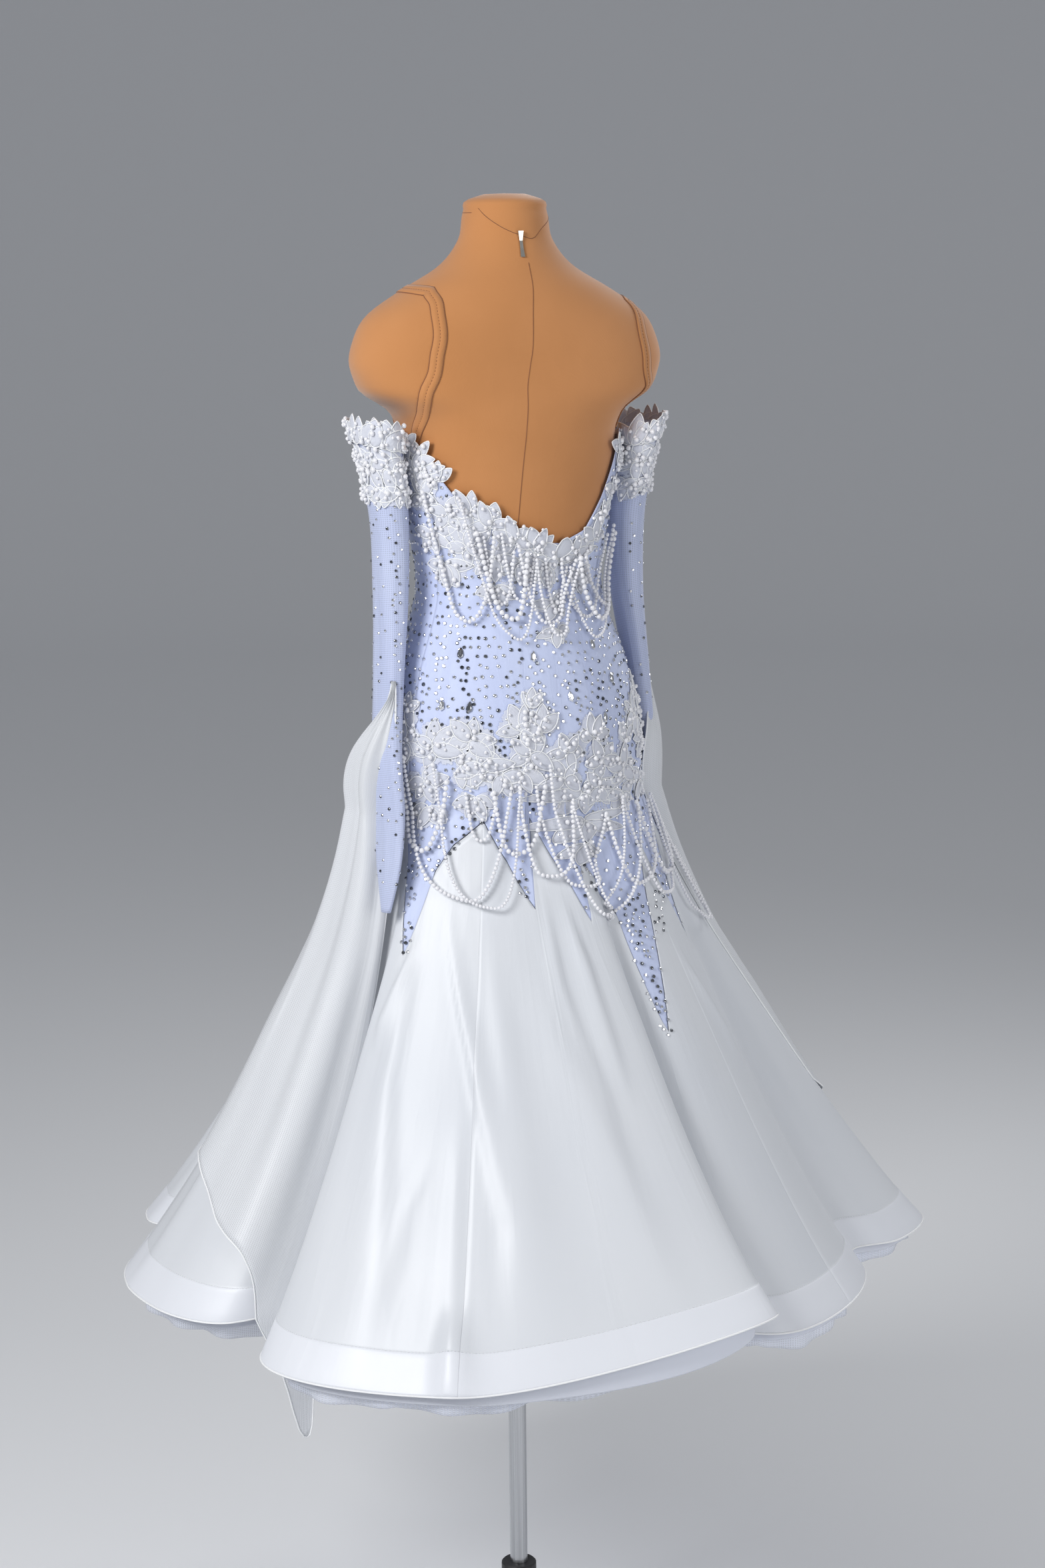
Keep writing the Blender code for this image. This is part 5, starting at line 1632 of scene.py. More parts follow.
NECK_LOOPS = (
    Loop(640, 736, 741, 800, 697, 931, 0.0024, 1), Loop(692, 748, 802, 838, 768, 957, 0.0018, 2),
    Loop(716, 798, 789, 822, 768, 930, 0.0030, 1), Loop(752, 800, 800, 830, 777, 900, 0.0020, 0),
    Loop(776, 818, 858, 838, 815, 935, 0.0022, 1), Loop(801, 838, 862, 840, 833, 955, 0.0020, 2),
    Loop(839, 838, 905, 800, 880, 925, 0.0022, 0), Loop(862, 835, 915, 772, 894, 930, 0.0030, 2),
    Loop(850, 850, 905, 815, 890, 957, 0.0018, 1), Loop(726, 805, 770, 825, 748, 905, 0.0020, 0),
    Loop(816, 838, 846, 850, 831, 915, 0.0020, 0), Loop(872, 835, 920, 760, 903, 905, 0.0024, 1),
)
HIP_LOOPS = (
    Loop(611, 1134, 765, 1190, 700, 1353, 0.0024, 1), Loop(655, 1152, 779, 1178, 737, 1365, 0.0019, 2),
    Loop(673, 1172, 608, 1150, 637, 1277, 0.0030, 1), Loop(778, 1180, 855, 1198, 813, 1315, 0.0025, 1),
    Loop(741, 1188, 816, 1175, 775, 1282, 0.0028, 0), Loop(803, 1180, 905, 1222, 850, 1330, 0.0022, 0),
    Loop(822, 1148, 948, 1205, 888, 1377, 0.0022, 1), Loop(854, 1198, 926, 1190, 905, 1366, 0.0018, 2),
    Loop(905, 1222, 963, 1198, 940, 1330, 0.0026, 0), Loop(926, 1195, 985, 1188, 955, 1352, 0.0022, 1),
    Loop(963, 1198, 1010, 1250, 1000, 1388, 0.0019, 2), Loop(971, 1172, 1003, 1230, 1028, 1376, 0.0022, 1),
    Loop(948, 1205, 995, 1215, 972, 1318, 0.0030, 0), Loop(700, 1190, 745, 1192, 722, 1262, 0.0022, 0),
)


@dataclass
class Pearls:
    """Strings of pearls in loops, and single pearls."""

    dress: DressSurface
    cloth: Surface
    view: PhotoView
    finishes: Finishes
    slack: float = 0.0034
    scale: float = 1.22

    def loop_points(self, ends: Array, low: Array, radius: float, layer: int) -> Array:
        """The centres of a loop's pearls.

        Its height falls from its ends' line by depth·(1 - |x|ⁿ), with x from -1 to 1 and n larger for a
        deep, narrow loop, and the pearls are set along it a pearl's width apart.

        Args:
            ends: The two ends as rows of u and v.
            low: u and v of its lowest point.
            radius: The pearls' radius.
            layer: How many strings it lies over.

        Returns:
            The centres.
        """
        x = np.linspace(-1, 1, 241)
        span = abs(ends[1, 0] - ends[0, 0]) / 4 + 0.004
        depth = 0.5 * (ends[0, 1] + ends[1, 1]) - low[1]
        power = float(np.clip(1.5 + 0.8 * depth / span, 2.0, 5.0))
        middle = (low[0] - ends[0, 0]) / (ends[1, 0] - ends[0, 0])
        middle = float(np.clip(middle, 0.2, 0.8))
        share = np.where(x < 0, middle * (1 + x), middle + (1 - middle) * x)
        line = ends[0, 1] + (ends[1, 1] - ends[0, 1]) * share
        drop = line[120] - low[1]
        v = line - drop * (1 - np.abs(x) ** power)
        u = ends[0, 0] + (ends[1, 0] - ends[0, 0]) * share
        out = self.slack + radius + 0.0026 * layer
        path = self.cloth.off(u, v, np.full(u.shape, out))
        along = np.concatenate([[0], np.cumsum(np.linalg.norm(np.diff(path, axis=0), axis=-1))])
        marks = np.arange(0.0, along[-1], 2.06 * radius)
        return np.stack([np.interp(marks, along, path[:, k]) for k in range(3)], -1)

    def from_pixels(self, loops: Sequence[Loop]) -> tuple[Array, Array]:
        """Centres and radii of the pearls of loops seen in the photograph."""
        first = self.view.locate(self.cloth, np.stack([column(loops, "x1"), column(loops, "y1")], -1), 0.9)
        last = self.view.locate(self.cloth, np.stack([column(loops, "x2"), column(loops, "y2")], -1), 0.9)
        low = self.view.locate(self.cloth, np.stack([column(loops, "low_x"), column(loops, "low_y")], -1), 0.9)
        centres, radii = [], []
        for k, loop in enumerate(loops):
            ends = np.array([[first[0][k], first[1][k]], [last[0][k], last[1][k]]])
            points = self.loop_points(ends, np.array([low[0][k], low[1][k]]), self.scale * loop.radius, loop.layer)
            centres.append(points)
            radii.append(np.full(len(points), self.scale * loop.radius))
        return np.concatenate(centres), np.concatenate(radii)

    def make(self, name: str, centres: Array, radii: Array, nodes: Sequence[str] = ()) -> None:
        """One mesh of pearls.

        Args:
            name: Its name.
            centres: The pearls' centres.
            radii: Their radii.
            nodes: The solids that it stands for.
        """
        shape, faces = ball_shape()
        axes = np.broadcast_to(np.eye(3), (len(centres), 3, 3))
        sizes = np.repeat(radii[:, None], 3, 1)
        pearls = stamped(name, shape, faces, centres, axes, sizes, self.finishes.get(PEARL))
        if nodes:
            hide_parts(*nodes)
        LOG.info("%s: %d pearls", name, len(centres))


class Trickle(NamedTuple):
    """A run of stones by its pixels: upper and lower end, half width, and how many are painted dark, as stones that
    reflect shade.
    """

    x1: float
    y1: float
    x2: float
    y2: float
    width: float
    dark: float


TRICKLES = (
    Trickle(690, 955, 706, 1085, 9, 0.85), Trickle(663, 985, 655, 1100, 8, 0.15), Trickle(722, 1085, 758, 1145, 12, 0.9),
    Trickle(762, 930, 778, 1010, 11, 0.6), Trickle(778, 1000, 770, 1095, 7, 0.15), Trickle(800, 945, 815, 1050, 8, 0.2),
    Trickle(815, 1030, 842, 1090, 8, 0.2), Trickle(864, 1020, 872, 1100, 5, 0.15), Trickle(850, 1020, 850, 1085, 5, 0.15),
    Trickle(888, 985, 880, 1085, 6, 0.2), Trickle(902, 1000, 906, 1120, 7, 0.6), Trickle(918, 990, 935, 1085, 8, 0.5),
    Trickle(630, 985, 626, 1095, 8, 0.3), Trickle(612, 880, 610, 1050, 6, 0.6), Trickle(758, 908, 772, 925, 10, 0.6),
    Trickle(668, 950, 700, 960, 7, 0.2), Trickle(655, 1300, 700, 1240, 6, 0.6), Trickle(700, 1240, 728, 1225, 8, 0.7),
    Trickle(785, 1205, 800, 1225, 8, 0.6), Trickle(862, 1295, 908, 1335, 10, 0.6), Trickle(780, 1290, 788, 1350, 6, 0.5),
    Trickle(626, 1262, 606, 1432, 8, 0.3), Trickle(628, 1262, 608, 1425, 7, 0.3), Trickle(618, 1300, 604, 1430, 7, 0.3),
    Trickle(948, 1340, 962, 1440, 14, 0.4), Trickle(960, 1430, 985, 1500, 12, 0.4), Trickle(982, 1490, 1006, 1560, 9, 0.4),
    Trickle(985, 1290, 990, 1400, 8, 0.35), Trickle(640, 860, 636, 900, 4, 0.3), Trickle(705, 1240, 690, 1262, 7, 0.7),
)


@dataclass
class Stones:
    """Flat-backed crystals: an even scatter, denser trickles, and large drops among them."""

    dress: DressSurface
    cloth: Surface
    view: PhotoView
    finishes: Finishes
    spacing: float = 0.0145
    least: float = 0.0058

    def thin_out(self, points: Array, taken: Array | None = None) -> Array:
        """Which points stay, when none may be nearer than the least gap to an earlier or a taken one."""
        crowd = np.triu(self.squares(points, points) < self.least**2, 1).any(0)
        if taken is not None and len(taken):
            crowd |= (self.squares(points, taken) < 0.0052**2).any(1)
        return ~crowd

    def squares(self, first: Array, second: Array) -> Array:
        """Squared distances between all points of two sets."""
        return (first**2).sum(1)[:, None] + (second**2).sum(1)[None] - 2 * first @ second.T

    def trickle_pixels(self, rng: np.random.Generator) -> tuple[Array, Array]:
        """Pixels of the stones of all trickles, with each one's painted dark reflection."""
        pixels, dark_reflections = [], []
        for row in TRICKLES:
            long = math.hypot(row.x2 - row.x1, row.y2 - row.y1)
            count = int(long * row.width * 2 / 26)
            share, aside = rng.random(count), rng.uniform(-1, 1, count)
            way = np.array([row.x2 - row.x1, row.y2 - row.y1])
            cross = np.array([-way[1], way[0]]) / long
            pixels.append(np.array([row.x1, row.y1]) + share[:, None] * way + aside[:, None] * row.width * cross)
            # The run's dark share of stones are painted dark, as reflecting shade instead of glinting.
            dark_reflections.append((rng.random(count) < row.dark) * rng.uniform(0.7, 1.0, count))
        return np.concatenate(pixels), np.concatenate(dark_reflections)

    def scatter(self, rng: np.random.Generator) -> tuple[Array, Array]:
        """Places and heights of an even, slightly shaken scatter over the bodice."""
        rows = np.arange(0.94, 1.68, self.spacing * 0.87)
        angles = np.arange(0, 360, 5.0)
        v, a = np.meshgrid(rows, angles, indexing="ij")
        a = a + 2.5 * (np.arange(len(rows)) % 2)[:, None] + rng.uniform(-1.3, 1.3, v.shape)
        v = v + rng.uniform(-0.003, 0.003, v.shape)
        u = self.dress.place_of(a.ravel())
        v = v.ravel()
        keep = (v < self.dress.neck_edge(u) - 0.006) & (v > self.dress.yoke_edge(u) + 0.004)
        return u[keep], v[keep]

    def build(self, taken: Array) -> None:
        """Every stone of the bodice and the points, as one mesh.

        Args:
            taken: Centres of pearls that stones keep clear of.
        """
        rng = np.random.default_rng(11)
        big_u, big_v = self.view.locate(self.cloth, np.array(CRYSTAL_PIXELS, float), 0.86)
        pixels, dark_reflections = self.trickle_pixels(rng)
        run_u, run_v = self.view.locate(self.cloth, pixels, 0.86)
        even_u, even_v = self.scatter(rng)
        all_u, all_v = np.concatenate([run_u, even_u]), np.concatenate([run_v, even_v])
        # About a fifth of the scattered stones are painted dark, as reflecting shade instead of glinting.
        tone = np.concatenate([dark_reflections, (rng.random(len(even_u)) < 0.2) * rng.uniform(0.5, 0.95, len(even_u))])
        centres = self.cloth.point(all_u, all_v)
        blocked = np.concatenate([taken, self.cloth.point(big_u, big_v)])
        keep = self.thin_out(centres, blocked)
        all_u, all_v, tone = all_u[keep], all_v[keep], tone[keep]
        size = rng.uniform(0.0022, 0.0027, len(all_u))
        axes = frames_on(self.cloth, all_u, all_v, rng.uniform(0, 90, len(all_u)))
        tilt = rng.normal(0, 0.10, (len(all_u), 2))
        axes[:, 2] = unit(axes[:, 2] + axes[:, 0] * tilt[:, :1] + axes[:, 1] * tilt[:, 1:])
        shape, faces = stone_shape()
        origin = self.cloth.off(all_u, all_v, 0.0004)
        stones = stamped(
            "bodice_stones", shape, faces, origin, axes, np.repeat(size[:, None], 3, 1),
            self.finishes.get(CRYSTAL), {"tone": tone}, flat=True,
        )
        drops_axes = frames_on(self.cloth, big_u, big_v, 90 + rng.uniform(-8, 8, len(big_u)))
        sizes = np.tile([0.0075, 0.0045, 0.0055], (len(big_u), 1))
        # Each drop has its own painted dark reflection.
        drops = stamped(
            "bodice_drops", self.drop_shape(shape), faces, self.cloth.off(big_u, big_v, 0.0006), drops_axes, sizes,
            self.finishes.get(CRYSTAL), {"tone": np.array([0.75, 0.1, 0.7, 0.1, 0.1, 0.1, 0.3, 0.2])}, flat=True,
        )
        LOG.info("bodice_stones: %d stones", len(all_u))

    def drop_shape(self, shape: Array) -> Array:
        """A drop from the round stone: its width falls towards one end."""
        drop = shape.copy()
        drop[:, 1] *= 1 - 0.55 * np.clip(shape[:, 0], 0, 1) ** 1.5
        drop[:, 0] *= np.where(shape[:, 0] > 0, 1.15, 0.85)
        return drop

    def on_sleeve(self, name: str, surface: SleeveSurface, seed: int) -> None:
        """A sleeve's stones: a scatter and a dense run down its back.

        Args:
            name: The piece's name.
            surface: The sleeve.
            seed: For the shake.
        """
        rng = np.random.default_rng(seed)
        v = rng.uniform(1.12, 1.63, 460)
        u = surface.side * rng.uniform(-110, 180, 460)
        run_v = 1.20 + 0.43 * rng.random(150) ** 0.8
        run_u = surface.side * (75 + rng.normal(0, 10, 150))
        u, v = np.concatenate([run_u, u]), np.concatenate([run_v, v])
        points = surface.point(u, v)
        away = np.linalg.norm(points[:, None] - points[None], axis=-1)
        least = np.where(np.arange(len(u)) < 150, self.least, 0.0105)
        keep = ~np.triu(away < least[None], 1).any(0)
        u, v = u[keep], v[keep]
        axes = frames_on(surface, u, v, rng.uniform(0, 90, len(u)))
        if surface.side < 0:
            axes[:, 0] *= 1
        size = rng.uniform(0.0018, 0.0022, len(u))
        shape, faces = stone_shape()
        # About a third of the sleeve's stones are painted dark, as reflecting shade instead of glinting.
        tone = (rng.random(len(u)) < 0.35) * rng.uniform(0.6, 0.95, len(u))
        stones = stamped(
            name, shape, faces, surface.off(u, v, 0.0003), axes, np.repeat(size[:, None], 3, 1),
            self.finishes.get(CRYSTAL), {"tone": tone}, flat=True,
        )
        LOG.info("%s: %d stones", name, len(u))


@dataclass
class Trimmings:
    """All lace, pearls and stones of the dress."""

    dress: DressSurface
    cloth: Surface
    view: PhotoView
    finishes: Finishes
    sleeves: dict[Hand, SleeveSurface]

    def sprays_round(self, start: float, end: float, step: float, height: Sequence[float], leaf: float, seed: int) -> tuple[Array, Array, list[Spray]]:
        """Plain sprays side by side at angles round the body, on the sides that the photograph doesn't show.

        Args:
            start: The first angle.
            end: The last angle.
            step: Degrees between them.
            height: Heights that they take in turn, below the neckline where they are under zero.
            leaf: The leaves' length.
            seed: For small differences.

        Returns:
            Places, heights and the sprays.
        """
        rng = np.random.default_rng(seed)
        angles = np.arange(start, end, step)
        u = self.dress.place_of(angles)
        levels = np.array([height[k % len(height)] for k in range(len(angles))])
        v = np.where(levels < 0, self.dress.neck_edge(u) + levels, levels) + rng.uniform(-0.004, 0.004, len(u))
        rows = [Spray(0, 0, leaf, 5, float(rng.uniform(0, 360)), 290) for _ in angles]
        return u, v, rows

    def ground(self, name: str, surface: Surface, leaves: Leaves, u: Array, v: Array) -> None:
        """The embroidered net under the leaves: a sheet that is kept where leaves are near.

        Its cover at a point is the largest of 1.25 - distance / reach over the leaves' middles, held to 0 and 1.

        Args:
            name: The piece's name.
            surface: What it lies on.
            leaves: The leaves above it.
            u: Values across of its grid.
            v: Values up of its grid.
        """
        half = 0.5 * leaves.length[:, None]
        middles, _ = leaves.on(surface, half, 0 * half, 0 * half)
        uu, vv = np.meshgrid(u, v)
        points = surface.off(uu, vv, np.full(uu.shape, 0.0009))
        flat = points.reshape(-1, 3)
        centres = middles.reshape(-1, 3)
        square = (flat**2).sum(1)[:, None] + (centres**2).sum(1)[None] - 2 * flat @ centres.T
        away = np.sqrt(np.maximum(square, 0)) / (0.46 * leaves.length[None])
        cover = np.clip(1.35 - away.min(1), 0, 1)
        limit = self.dress.neck_edge(uu.ravel()) if surface is self.cloth else np.full(cover.shape, SLEEVE_TOP_Z)
        cover = cover * (vv.ravel() < limit - 0.001)
        faces = grid_faces(len(v), len(u))
        faces = faces[cover[faces].max(1) > 0.02]
        if getattr(surface, "side", 1) < 0:
            faces = faces[:, ::-1]
        used, inverse = np.unique(faces.ravel(), return_inverse=True)
        across = np.concatenate([[0], np.cumsum(np.linalg.norm(np.diff(points[len(v) // 2], axis=0), axis=-1))])
        up = np.concatenate([[0], np.cumsum(np.linalg.norm(np.diff(points[:, len(u) // 2], axis=0), axis=-1))])
        uv = np.stack(np.meshgrid(across, up), -1).reshape(-1, 2)
        sheet = make_mesh(
            name, flat[used], inverse.reshape(-1, 4), self.finishes.get(LACE_GROUND), uv[faces.ravel()], {"cover": cover[used]}
        )

    def lace_piece(self, name: str, parts: list[tuple[Array, Array, Sequence[Spray]]], nodes: Sequence[str], seed: int) -> tuple[Array, Array]:
        """One lace piece from sprays, and its pearls' centres and radii."""
        u = np.concatenate([p[0] for p in parts])
        v = np.concatenate([p[1] for p in parts])
        rows = [row for p in parts for row in p[2]]
        maker = LaceMaker(self.finishes)
        leaves = Leaves.from_sprays(u, v, rows, seed)
        maker.build(name, self.cloth, leaves, nodes)
        around = np.arange(u.min() - 0.08, u.max() + 0.08, 0.011)
        self.ground(name + "_net", self.cloth, leaves, around, np.arange(v.min() - 0.05, v.max() + 0.04, 0.004))
        return maker.pearls_on(self.cloth, leaves)

    def located(self, rows: Sequence[Spray]) -> tuple[Array, Array, Sequence[Spray]]:
        """The places and heights of sprays given by pixels."""
        found = self.view.locate(self.cloth, np.stack([column(rows, "x"), column(rows, "y")], -1), 0.95)
        return found[0], found[1], rows

    def sleeve_lace(self, hand: Hand) -> tuple[Array, Array]:
        """The flaring petals round a sleeve's top.

        Args:
            hand: Which sleeve.

        Returns:
            Its pearls' centres and radii.
        """
        surface = self.sleeves[hand]
        rng = np.random.default_rng(21)
        angles = np.concatenate([np.arange(-130, 131, 26.0), np.arange(-117, 118, 26.0), np.arange(-130, 131, 32.5)])
        v = np.concatenate([np.full(11, 1.668), np.full(10, 1.642), np.full(9, 1.618)])
        rows = [Spray(0, 0, 0.036, 3, 90, 90)] * 11 + [Spray(0, 0, 0.031, 4, 200, 290)] * 10
        rows += [Spray(0, 0, 0.028, 3, 270, 120)] * 9
        leaves = Leaves.from_sprays(surface.side * (angles + rng.uniform(-4, 4, len(angles))), v, rows, 5)
        leaves.rise[:33] += 0.0018
        maker = LaceMaker(self.finishes)
        name = f"sleeve_lace_{hand.name.lower()}"
        maker.build(name + "_leaves", surface, leaves, [name])
        around = surface.side * np.arange(-180, 181, 5.0)
        self.ground(name + "_net", surface, leaves, around, np.arange(1.57, 1.681, 0.0045))
        return maker.pearls_on(surface, leaves)

    def build(self) -> None:
        """Lace, then pearls, then stones in what room is left."""
        pearls = Pearls(self.dress, self.cloth, self.view, self.finishes)
        neck = self.located(NECK_SPRAYS)
        hip = self.located(HIP_SPRAYS)
        on_neck = self.lace_piece(
            "neckline_lace_leaves",
            [neck, self.sprays_round(14, 30, 7, (-0.012, -0.030), 0.026, 1), self.sprays_round(156, 170, 7, (-0.012, -0.03), 0.026, 2)],
            ["neckline_lace_back"], 3,
        )
        on_front = self.lace_piece(
            "neckline_lace_front_leaves", [self.sprays_round(196, 345, 6.5, (-0.010, -0.026, -0.018), 0.027, 4)],
            ["neckline_lace_front"], 6,
        )
        on_hip = self.lace_piece(
            "hip_lace_leaves",
            [hip, self.sprays_round(-18, 26, 8, (1.32, 1.285, 1.30), 0.030, 8), self.sprays_round(146, 198, 8, (1.315, 1.285, 1.34), 0.030, 9)],
            ["hip_lace_back"], 7,
        )
        on_hip_front = self.lace_piece(
            "hip_lace_front_leaves", [self.sprays_round(199, 341, 7, (1.325, 1.285, 1.305), 0.030, 12)],
            ["hip_lace_front"], 10,
        )
        on_left, on_right = self.sleeve_lace(Hand.LEFT), self.sleeve_lace(Hand.RIGHT)
        singles = [on_neck, on_front, on_hip, on_hip_front, on_left, on_right]
        centres = np.concatenate([s[0] for s in singles])
        radii = np.concatenate([s[1] for s in singles])
        pearls.make("single_pearls", centres, radii)
        neck_loops = pearls.from_pixels(NECK_LOOPS)
        hip_loops = pearls.from_pixels(HIP_LOOPS)
        pearls.make("neckline_pearl_loops", *neck_loops, ["pearl_swags_back"])
        pearls.make("hip_pearl_loops", *hip_loops, ["pearl_swags_hip"])
        stones = Stones(self.dress, self.cloth, self.view, self.finishes)
        stones.build(centres)
        stones.on_sleeve("sleeve_left_stones", self.sleeves[Hand.LEFT], 31)
        stones.on_sleeve("sleeve_right_stones", self.sleeves[Hand.RIGHT], 32)


CENTRE_SEAM_PIXELS = ((793, 393), (799, 425), (800, 470), (797, 540), (792, 620), (785, 700), (777, 790), (770, 850))
CAP_SEAM_PIXELS = ((716, 311), (732, 327), (757, 343), (782, 353), (800, 357), (814, 341), (826, 325))
TAPE_PIXELS = {
    Hand.LEFT: ((616, 690), (625, 650), (635, 618), (647, 573), (657, 527), (660, 491), (655, 457), (644, 437)),
    Hand.RIGHT: ((946, 640), (961, 613), (969, 584), (971, 556), (968, 520), (961, 486), (943, 452)),
}


@dataclass
class DressForm:
    """The form's fitted cover with painted shadow lines along its seams, its armhole tapes, its zip's slider and the
    stand.
    """

    view: PhotoView
    finishes: Finishes
    nodes: dict[str, bpy.types.Object]
    around: int = 96
    rows: int = 100
    tape_half: float = 0.0085
    cap_z: float = 1.957

    def build_skin(self) -> None:
        """The cover: the form's surface closed at both ends."""
        surface = FormSurface()
        low, high = WAIST_Z + FORM_SECTIONS[0].rise, WAIST_Z + FORM_SECTIONS[-1].rise
        share = np.linspace(0, 1, self.rows)
        heights = low + (high - low) * (1 - (1 - share) ** 1.25)
        angles = np.arange(self.around) * 360 / self.around
        v = np.repeat(heights[:, None], self.around, 1)
        points = surface.point(np.broadcast_to(angles, v.shape), v)
        flat = body_section(angles, np.full(self.around, low)) * np.array([0.002, 0.002, 1.0])
        lid = points[-1] * np.array([0.05, 0.05, 1.0]) + np.array([0.0, 0.0, 0.0008])
        points = np.concatenate([flat[None], points, lid[None]])
        skin = make_mesh("form_skin", points, grid_faces(len(points), self.around, closed=True), self.finishes.get(COVER))
        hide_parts("dress_form")
        LOG.info("form_skin done")

    def seam(self, name: str, angle: Array, height: Array, radius: float) -> None:
        """A seam's shadow line on the cover, sunk to half its thickness.

        Args:
            name: Its name.
            angle: Angles along it.
            height: Heights along it.
            radius: Half its width.
        """
        surface = FormSurface()
        line = tubes(
            name, surface.off(angle, height, -0.25 * radius)[None], surface.normal(angle, height)[None], radius,
            self.finishes.get(SEAM_SHADOW_AND_THREAD), sides=6,
        )

    def traced(self, pixels: Sequence[tuple[float, float]], count: int) -> tuple[Array, Array]:
        """A smooth line on the skin through pixels, evenly spaced in its knots.

        Args:
            pixels: The line's x and y, in order.
            count: How many points to give.

        Returns:
            Angles and heights.
        """
        angle, height = self.view.locate(FormSurface(), np.array(pixels, float))
        knots = np.arange(len(pixels), dtype=float)
        at = np.linspace(0, knots[-1], count)
        return smooth(at, knots, angle), smooth(at, knots, height)

    def build_seams(self) -> None:
        """Painted shadow lines of the centre back seam below the zip, and of the seam of the neck's cap with its V over
        the zip.
        """
        self.seam("centre_back_seam", *self.traced(CENTRE_SEAM_PIXELS, 120), 0.00065)
        angle, height = self.traced(CAP_SEAM_PIXELS, 50)
        turn = np.concatenate([angle, np.linspace(angle[-1] + 8, angle[0] + 352, 60)])
        level = np.concatenate([height, np.full(60, self.cap_z)])
        self.seam("neck_cap_seam", turn, level, 0.0006)

    def build_tapes(self) -> None:
        """A flat tape over each shoulder, front to back, with two raised edges, a painted shadow line along each edge
        and stitches down its middle.
        """
        surface = FormSurface()
        for hand in Hand:
            angle, height = self.traced(TAPE_PIXELS[hand], 44)
            side = 0.0 if hand is Hand.LEFT else 180.0
            top = np.linspace(1, 0, 12)[1:]
            angle = np.concatenate([angle, side + (angle[-1] - side) * top])
            height = np.concatenate([height, height[-1] + 0.003 * (1 - top**2)])
            angle = np.concatenate([angle, 2 * side - angle[-2::-1]])
            height = np.concatenate([height, height[-2::-1]])
            centre, normal = surface.point(angle, height), surface.normal(angle, height)
            side = unit(np.cross(unit(np.gradient(centre, axis=0)), normal))
            across = np.array([-1.0, -0.92, -0.12, 0.0, 0.12, 0.92, 1.0])
            out = np.array([-0.0008, 0.0012, 0.0012, 0.0007, 0.0012, 0.0012, -0.0008])
            spread = side[:, None] * across[None, :, None] * self.tape_half
            points = centre[:, None] + spread + normal[:, None] * out[None, :, None]
            name = f"armhole_tape_{hand.name.lower()}"
            faces = grid_faces(len(points), len(across))
            tape = make_mesh(name, points, faces if hand is Hand.LEFT else faces[:, ::-1], self.finishes.get(TAPE))
            # Dark cords along both edges: painted shadow lines where the tape meets the cover.
            for edge, shift in (("inner", -1.0), ("outer", 1.0)):
                line = centre + side * shift * self.tape_half + normal * 0.0004
                cord = tubes(f"{name}_{edge}", line[None], normal[None], 0.0007, self.finishes.get(SEAM_SHADOW_AND_THREAD))
            along = np.concatenate([[0], np.cumsum(np.linalg.norm(np.diff(centre, axis=0), axis=-1))])
            marks = np.arange(0.004, along[-1] - 0.004, 0.0042)
            pick = np.stack([np.interp(marks, along, (centre + normal * 0.0010)[:, k]) for k in range(3)], -1)
            out_way = np.stack([np.interp(marks, along, normal[:, k]) for k in range(3)], -1)
            way = np.stack([np.interp(marks, along, np.gradient(centre, axis=0)[:, k]) for k in range(3)], -1)
            stitches = pick[:, None] + unit(way)[:, None] * np.linspace(-0.0013, 0.0013, 3)[None, :, None]
            thread = tubes(
                f"{name}_stitches", stitches, np.repeat(unit(out_way)[:, None], 3, 1), 0.00045, self.finishes.get(SEAM_SHADOW_AND_THREAD), sides=4
            )
        LOG.info("armhole tapes done")

    def build(self) -> None:
        """The cover, its seams and tapes, and the finish of the solids that stay."""
        self.build_skin()
        self.build_seams()
        self.build_tapes()
        for name, finish in (
            ("pole", POLE_STEEL), ("zip_slider", SLIDER_STEEL), ("hub_collar", PLATE_BLACK), ("base_plate", PLATE_BLACK),
        ):
            node = self.nodes[name]
            node.data.materials.clear()
            node.data.materials.append(self.finishes.get(finish))


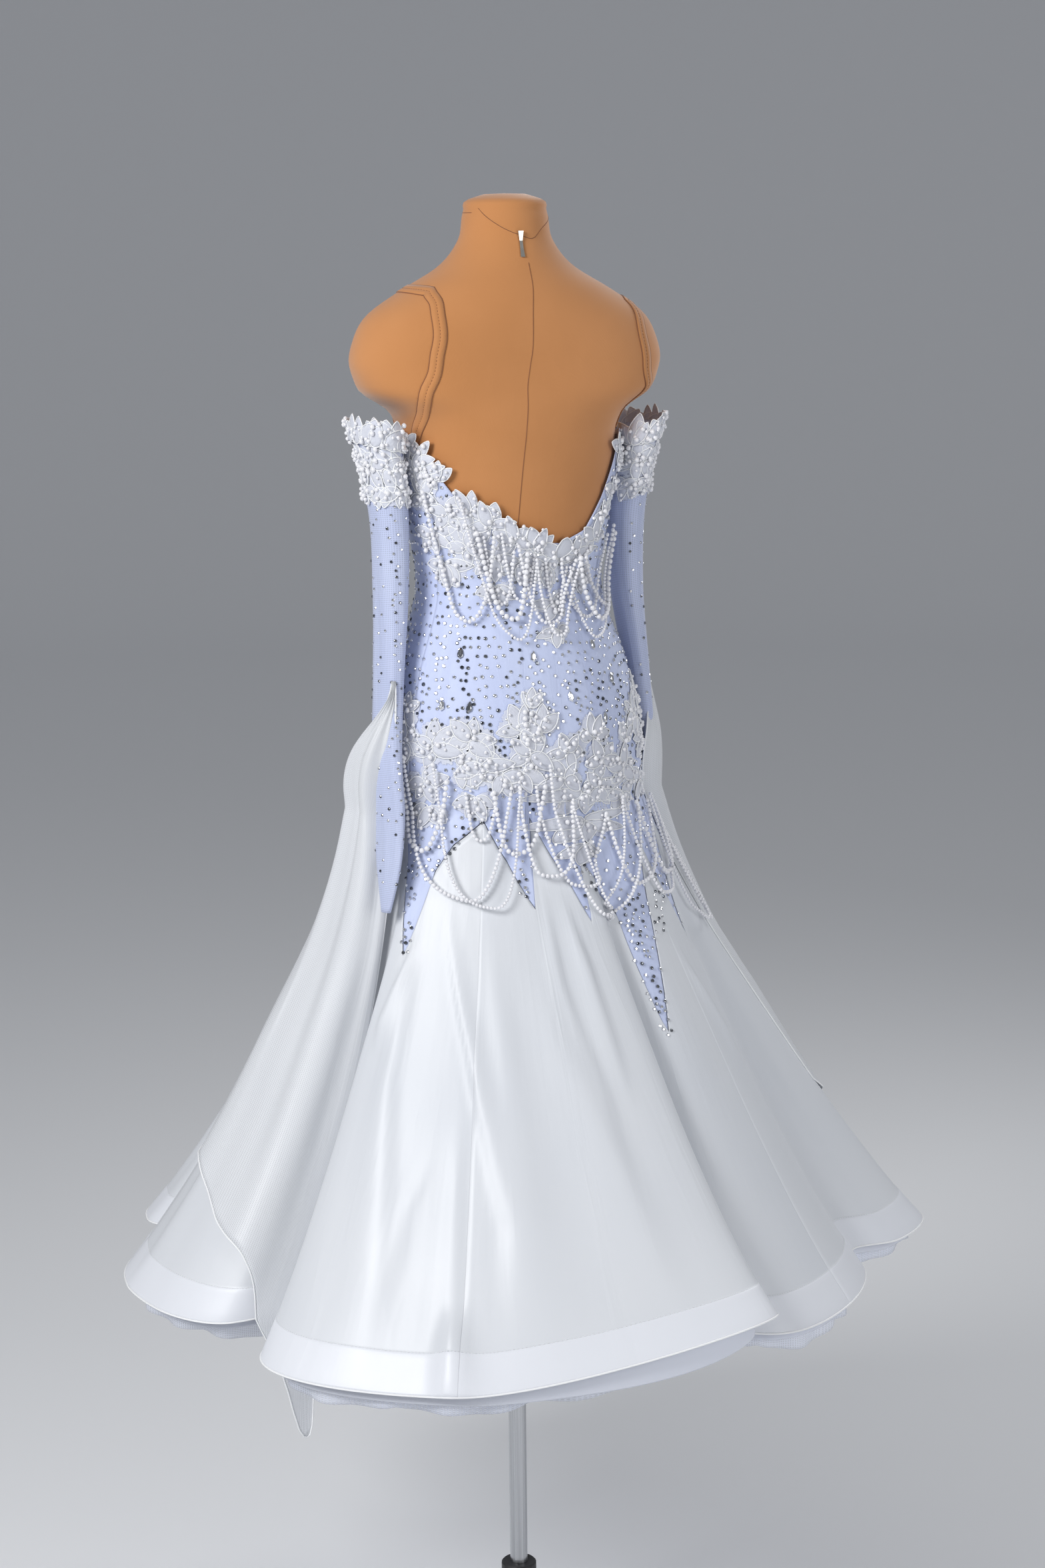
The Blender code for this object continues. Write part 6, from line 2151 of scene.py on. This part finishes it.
@dataclass
class Studio:
    """A pale floor that curves up behind, and soft lights."""

    view: PhotoView
    key: float = 90.0
    fill: float = 32.0
    rim: float = 24.0
    world: float = 0.36

    def build_floor(self) -> None:
        """A round floor whose rim curves up far away on all sides: a profile turned about the upright axis."""
        turn = np.linspace(0, math.pi / 2, 16)
        reach = np.concatenate([[0.001, 1.0, 3.0, 7.0], 10.0 + 4.0 * np.sin(turn), [14.0]])
        rise = np.concatenate([[0.0, 0.0, 0.0, 0.0], 4.0 - 4.0 * np.cos(turn), [6.0]])
        angle = np.linspace(0, 2 * math.pi, 97)[:-1]
        ring = np.stack([np.cos(angle), np.sin(angle), np.zeros(96)], -1)
        points = reach[:, None, None] * ring + rise[:, None, None] * np.array([0, 0, 1.0])
        material = bpy.data.materials.new("studio_paper")
        material.use_nodes = True
        shader = material.node_tree.nodes["Principled BSDF"]
        shader.inputs["Base Color"].default_value = (0.82, 0.83, 0.85, 1)
        shader.inputs["Roughness"].default_value = 0.9
        mesh = bpy.data.meshes.new("studio_floor")
        faces = grid_faces(len(reach), 96, closed=True)[:, ::-1]
        mesh.from_pydata([tuple(p) for p in points.reshape(-1, 3)], [], [tuple(int(i) for i in f) for f in faces])
        mesh.polygons.foreach_set("use_smooth", np.full(len(mesh.polygons), True))
        mesh.materials.append(material)
        floor = bpy.data.objects.new("studio_floor", mesh)
        bpy.context.scene.collection.objects.link(floor)

    def add_light(self, name: str, place: Array, target: Array, size: float, power: float) -> None:
        """One soft area light that looks at a point."""
        data = bpy.data.lights.new(name, "AREA")
        data.shape, data.size, data.energy = "DISK", size, power
        light = bpy.data.objects.new(name, data)
        bpy.context.scene.collection.objects.link(light)
        way = Vector(target - place)
        light.matrix_world = Matrix.Translation(Vector(place)) @ way.to_track_quat("-Z", "Y").to_matrix().to_4x4()

    def build(self) -> None:
        """Floor, lights and world."""
        self.build_floor()
        towards = unit(self.view.place * np.array([1.0, 1.0, 0.0]))
        left = np.array([towards[1], -towards[0], 0.0])
        middle = np.array([0.0, 0.0, 1.15])
        up = np.array([0.0, 0.0, 1.0])
        self.add_light("key_light", 2.2 * towards + 2.1 * left + 2.9 * up, middle, 1.5, self.key)
        self.add_light("fill_light", 2.4 * towards - 2.4 * left + 1.7 * up, middle, 2.2, self.fill)
        self.add_light("rim_light", -1.8 * towards - 1.6 * left + 2.8 * up, middle, 1.2, self.rim)
        world = bpy.data.worlds.new("studio")
        world.use_nodes = True
        world.node_tree.nodes["Background"].inputs["Color"].default_value = (0.80, 0.82, 0.86, 1)
        world.node_tree.nodes["Background"].inputs["Strength"].default_value = self.world
        bpy.context.scene.world = world
        bpy.context.scene.view_settings.view_transform = "Standard"


def main() -> None:
    """Builds every sub-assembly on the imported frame."""
    logging.basicConfig(level=logging.INFO, format="%(name)s: %(message)s")
    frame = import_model()
    view = PhotoView()
    view.make_camera()
    Studio(view).build()
    finishes = Finishes()
    dress = DressSurface()
    folds = FoldedSkirt(dress, view)
    DressForm(view, finishes, frame["nodes"]).build()
    cloth = BodiceCloth(dress)
    Skirt(dress, folds, finishes).build()
    Bodice(dress, cloth, finishes).build()
    sleeves = Sleeves(dress, folds, finishes)
    sleeves.build()
    Trimmings(dress, folds, view, finishes, sleeves.surfaces).build()


if __name__ == "__main__":
    main()
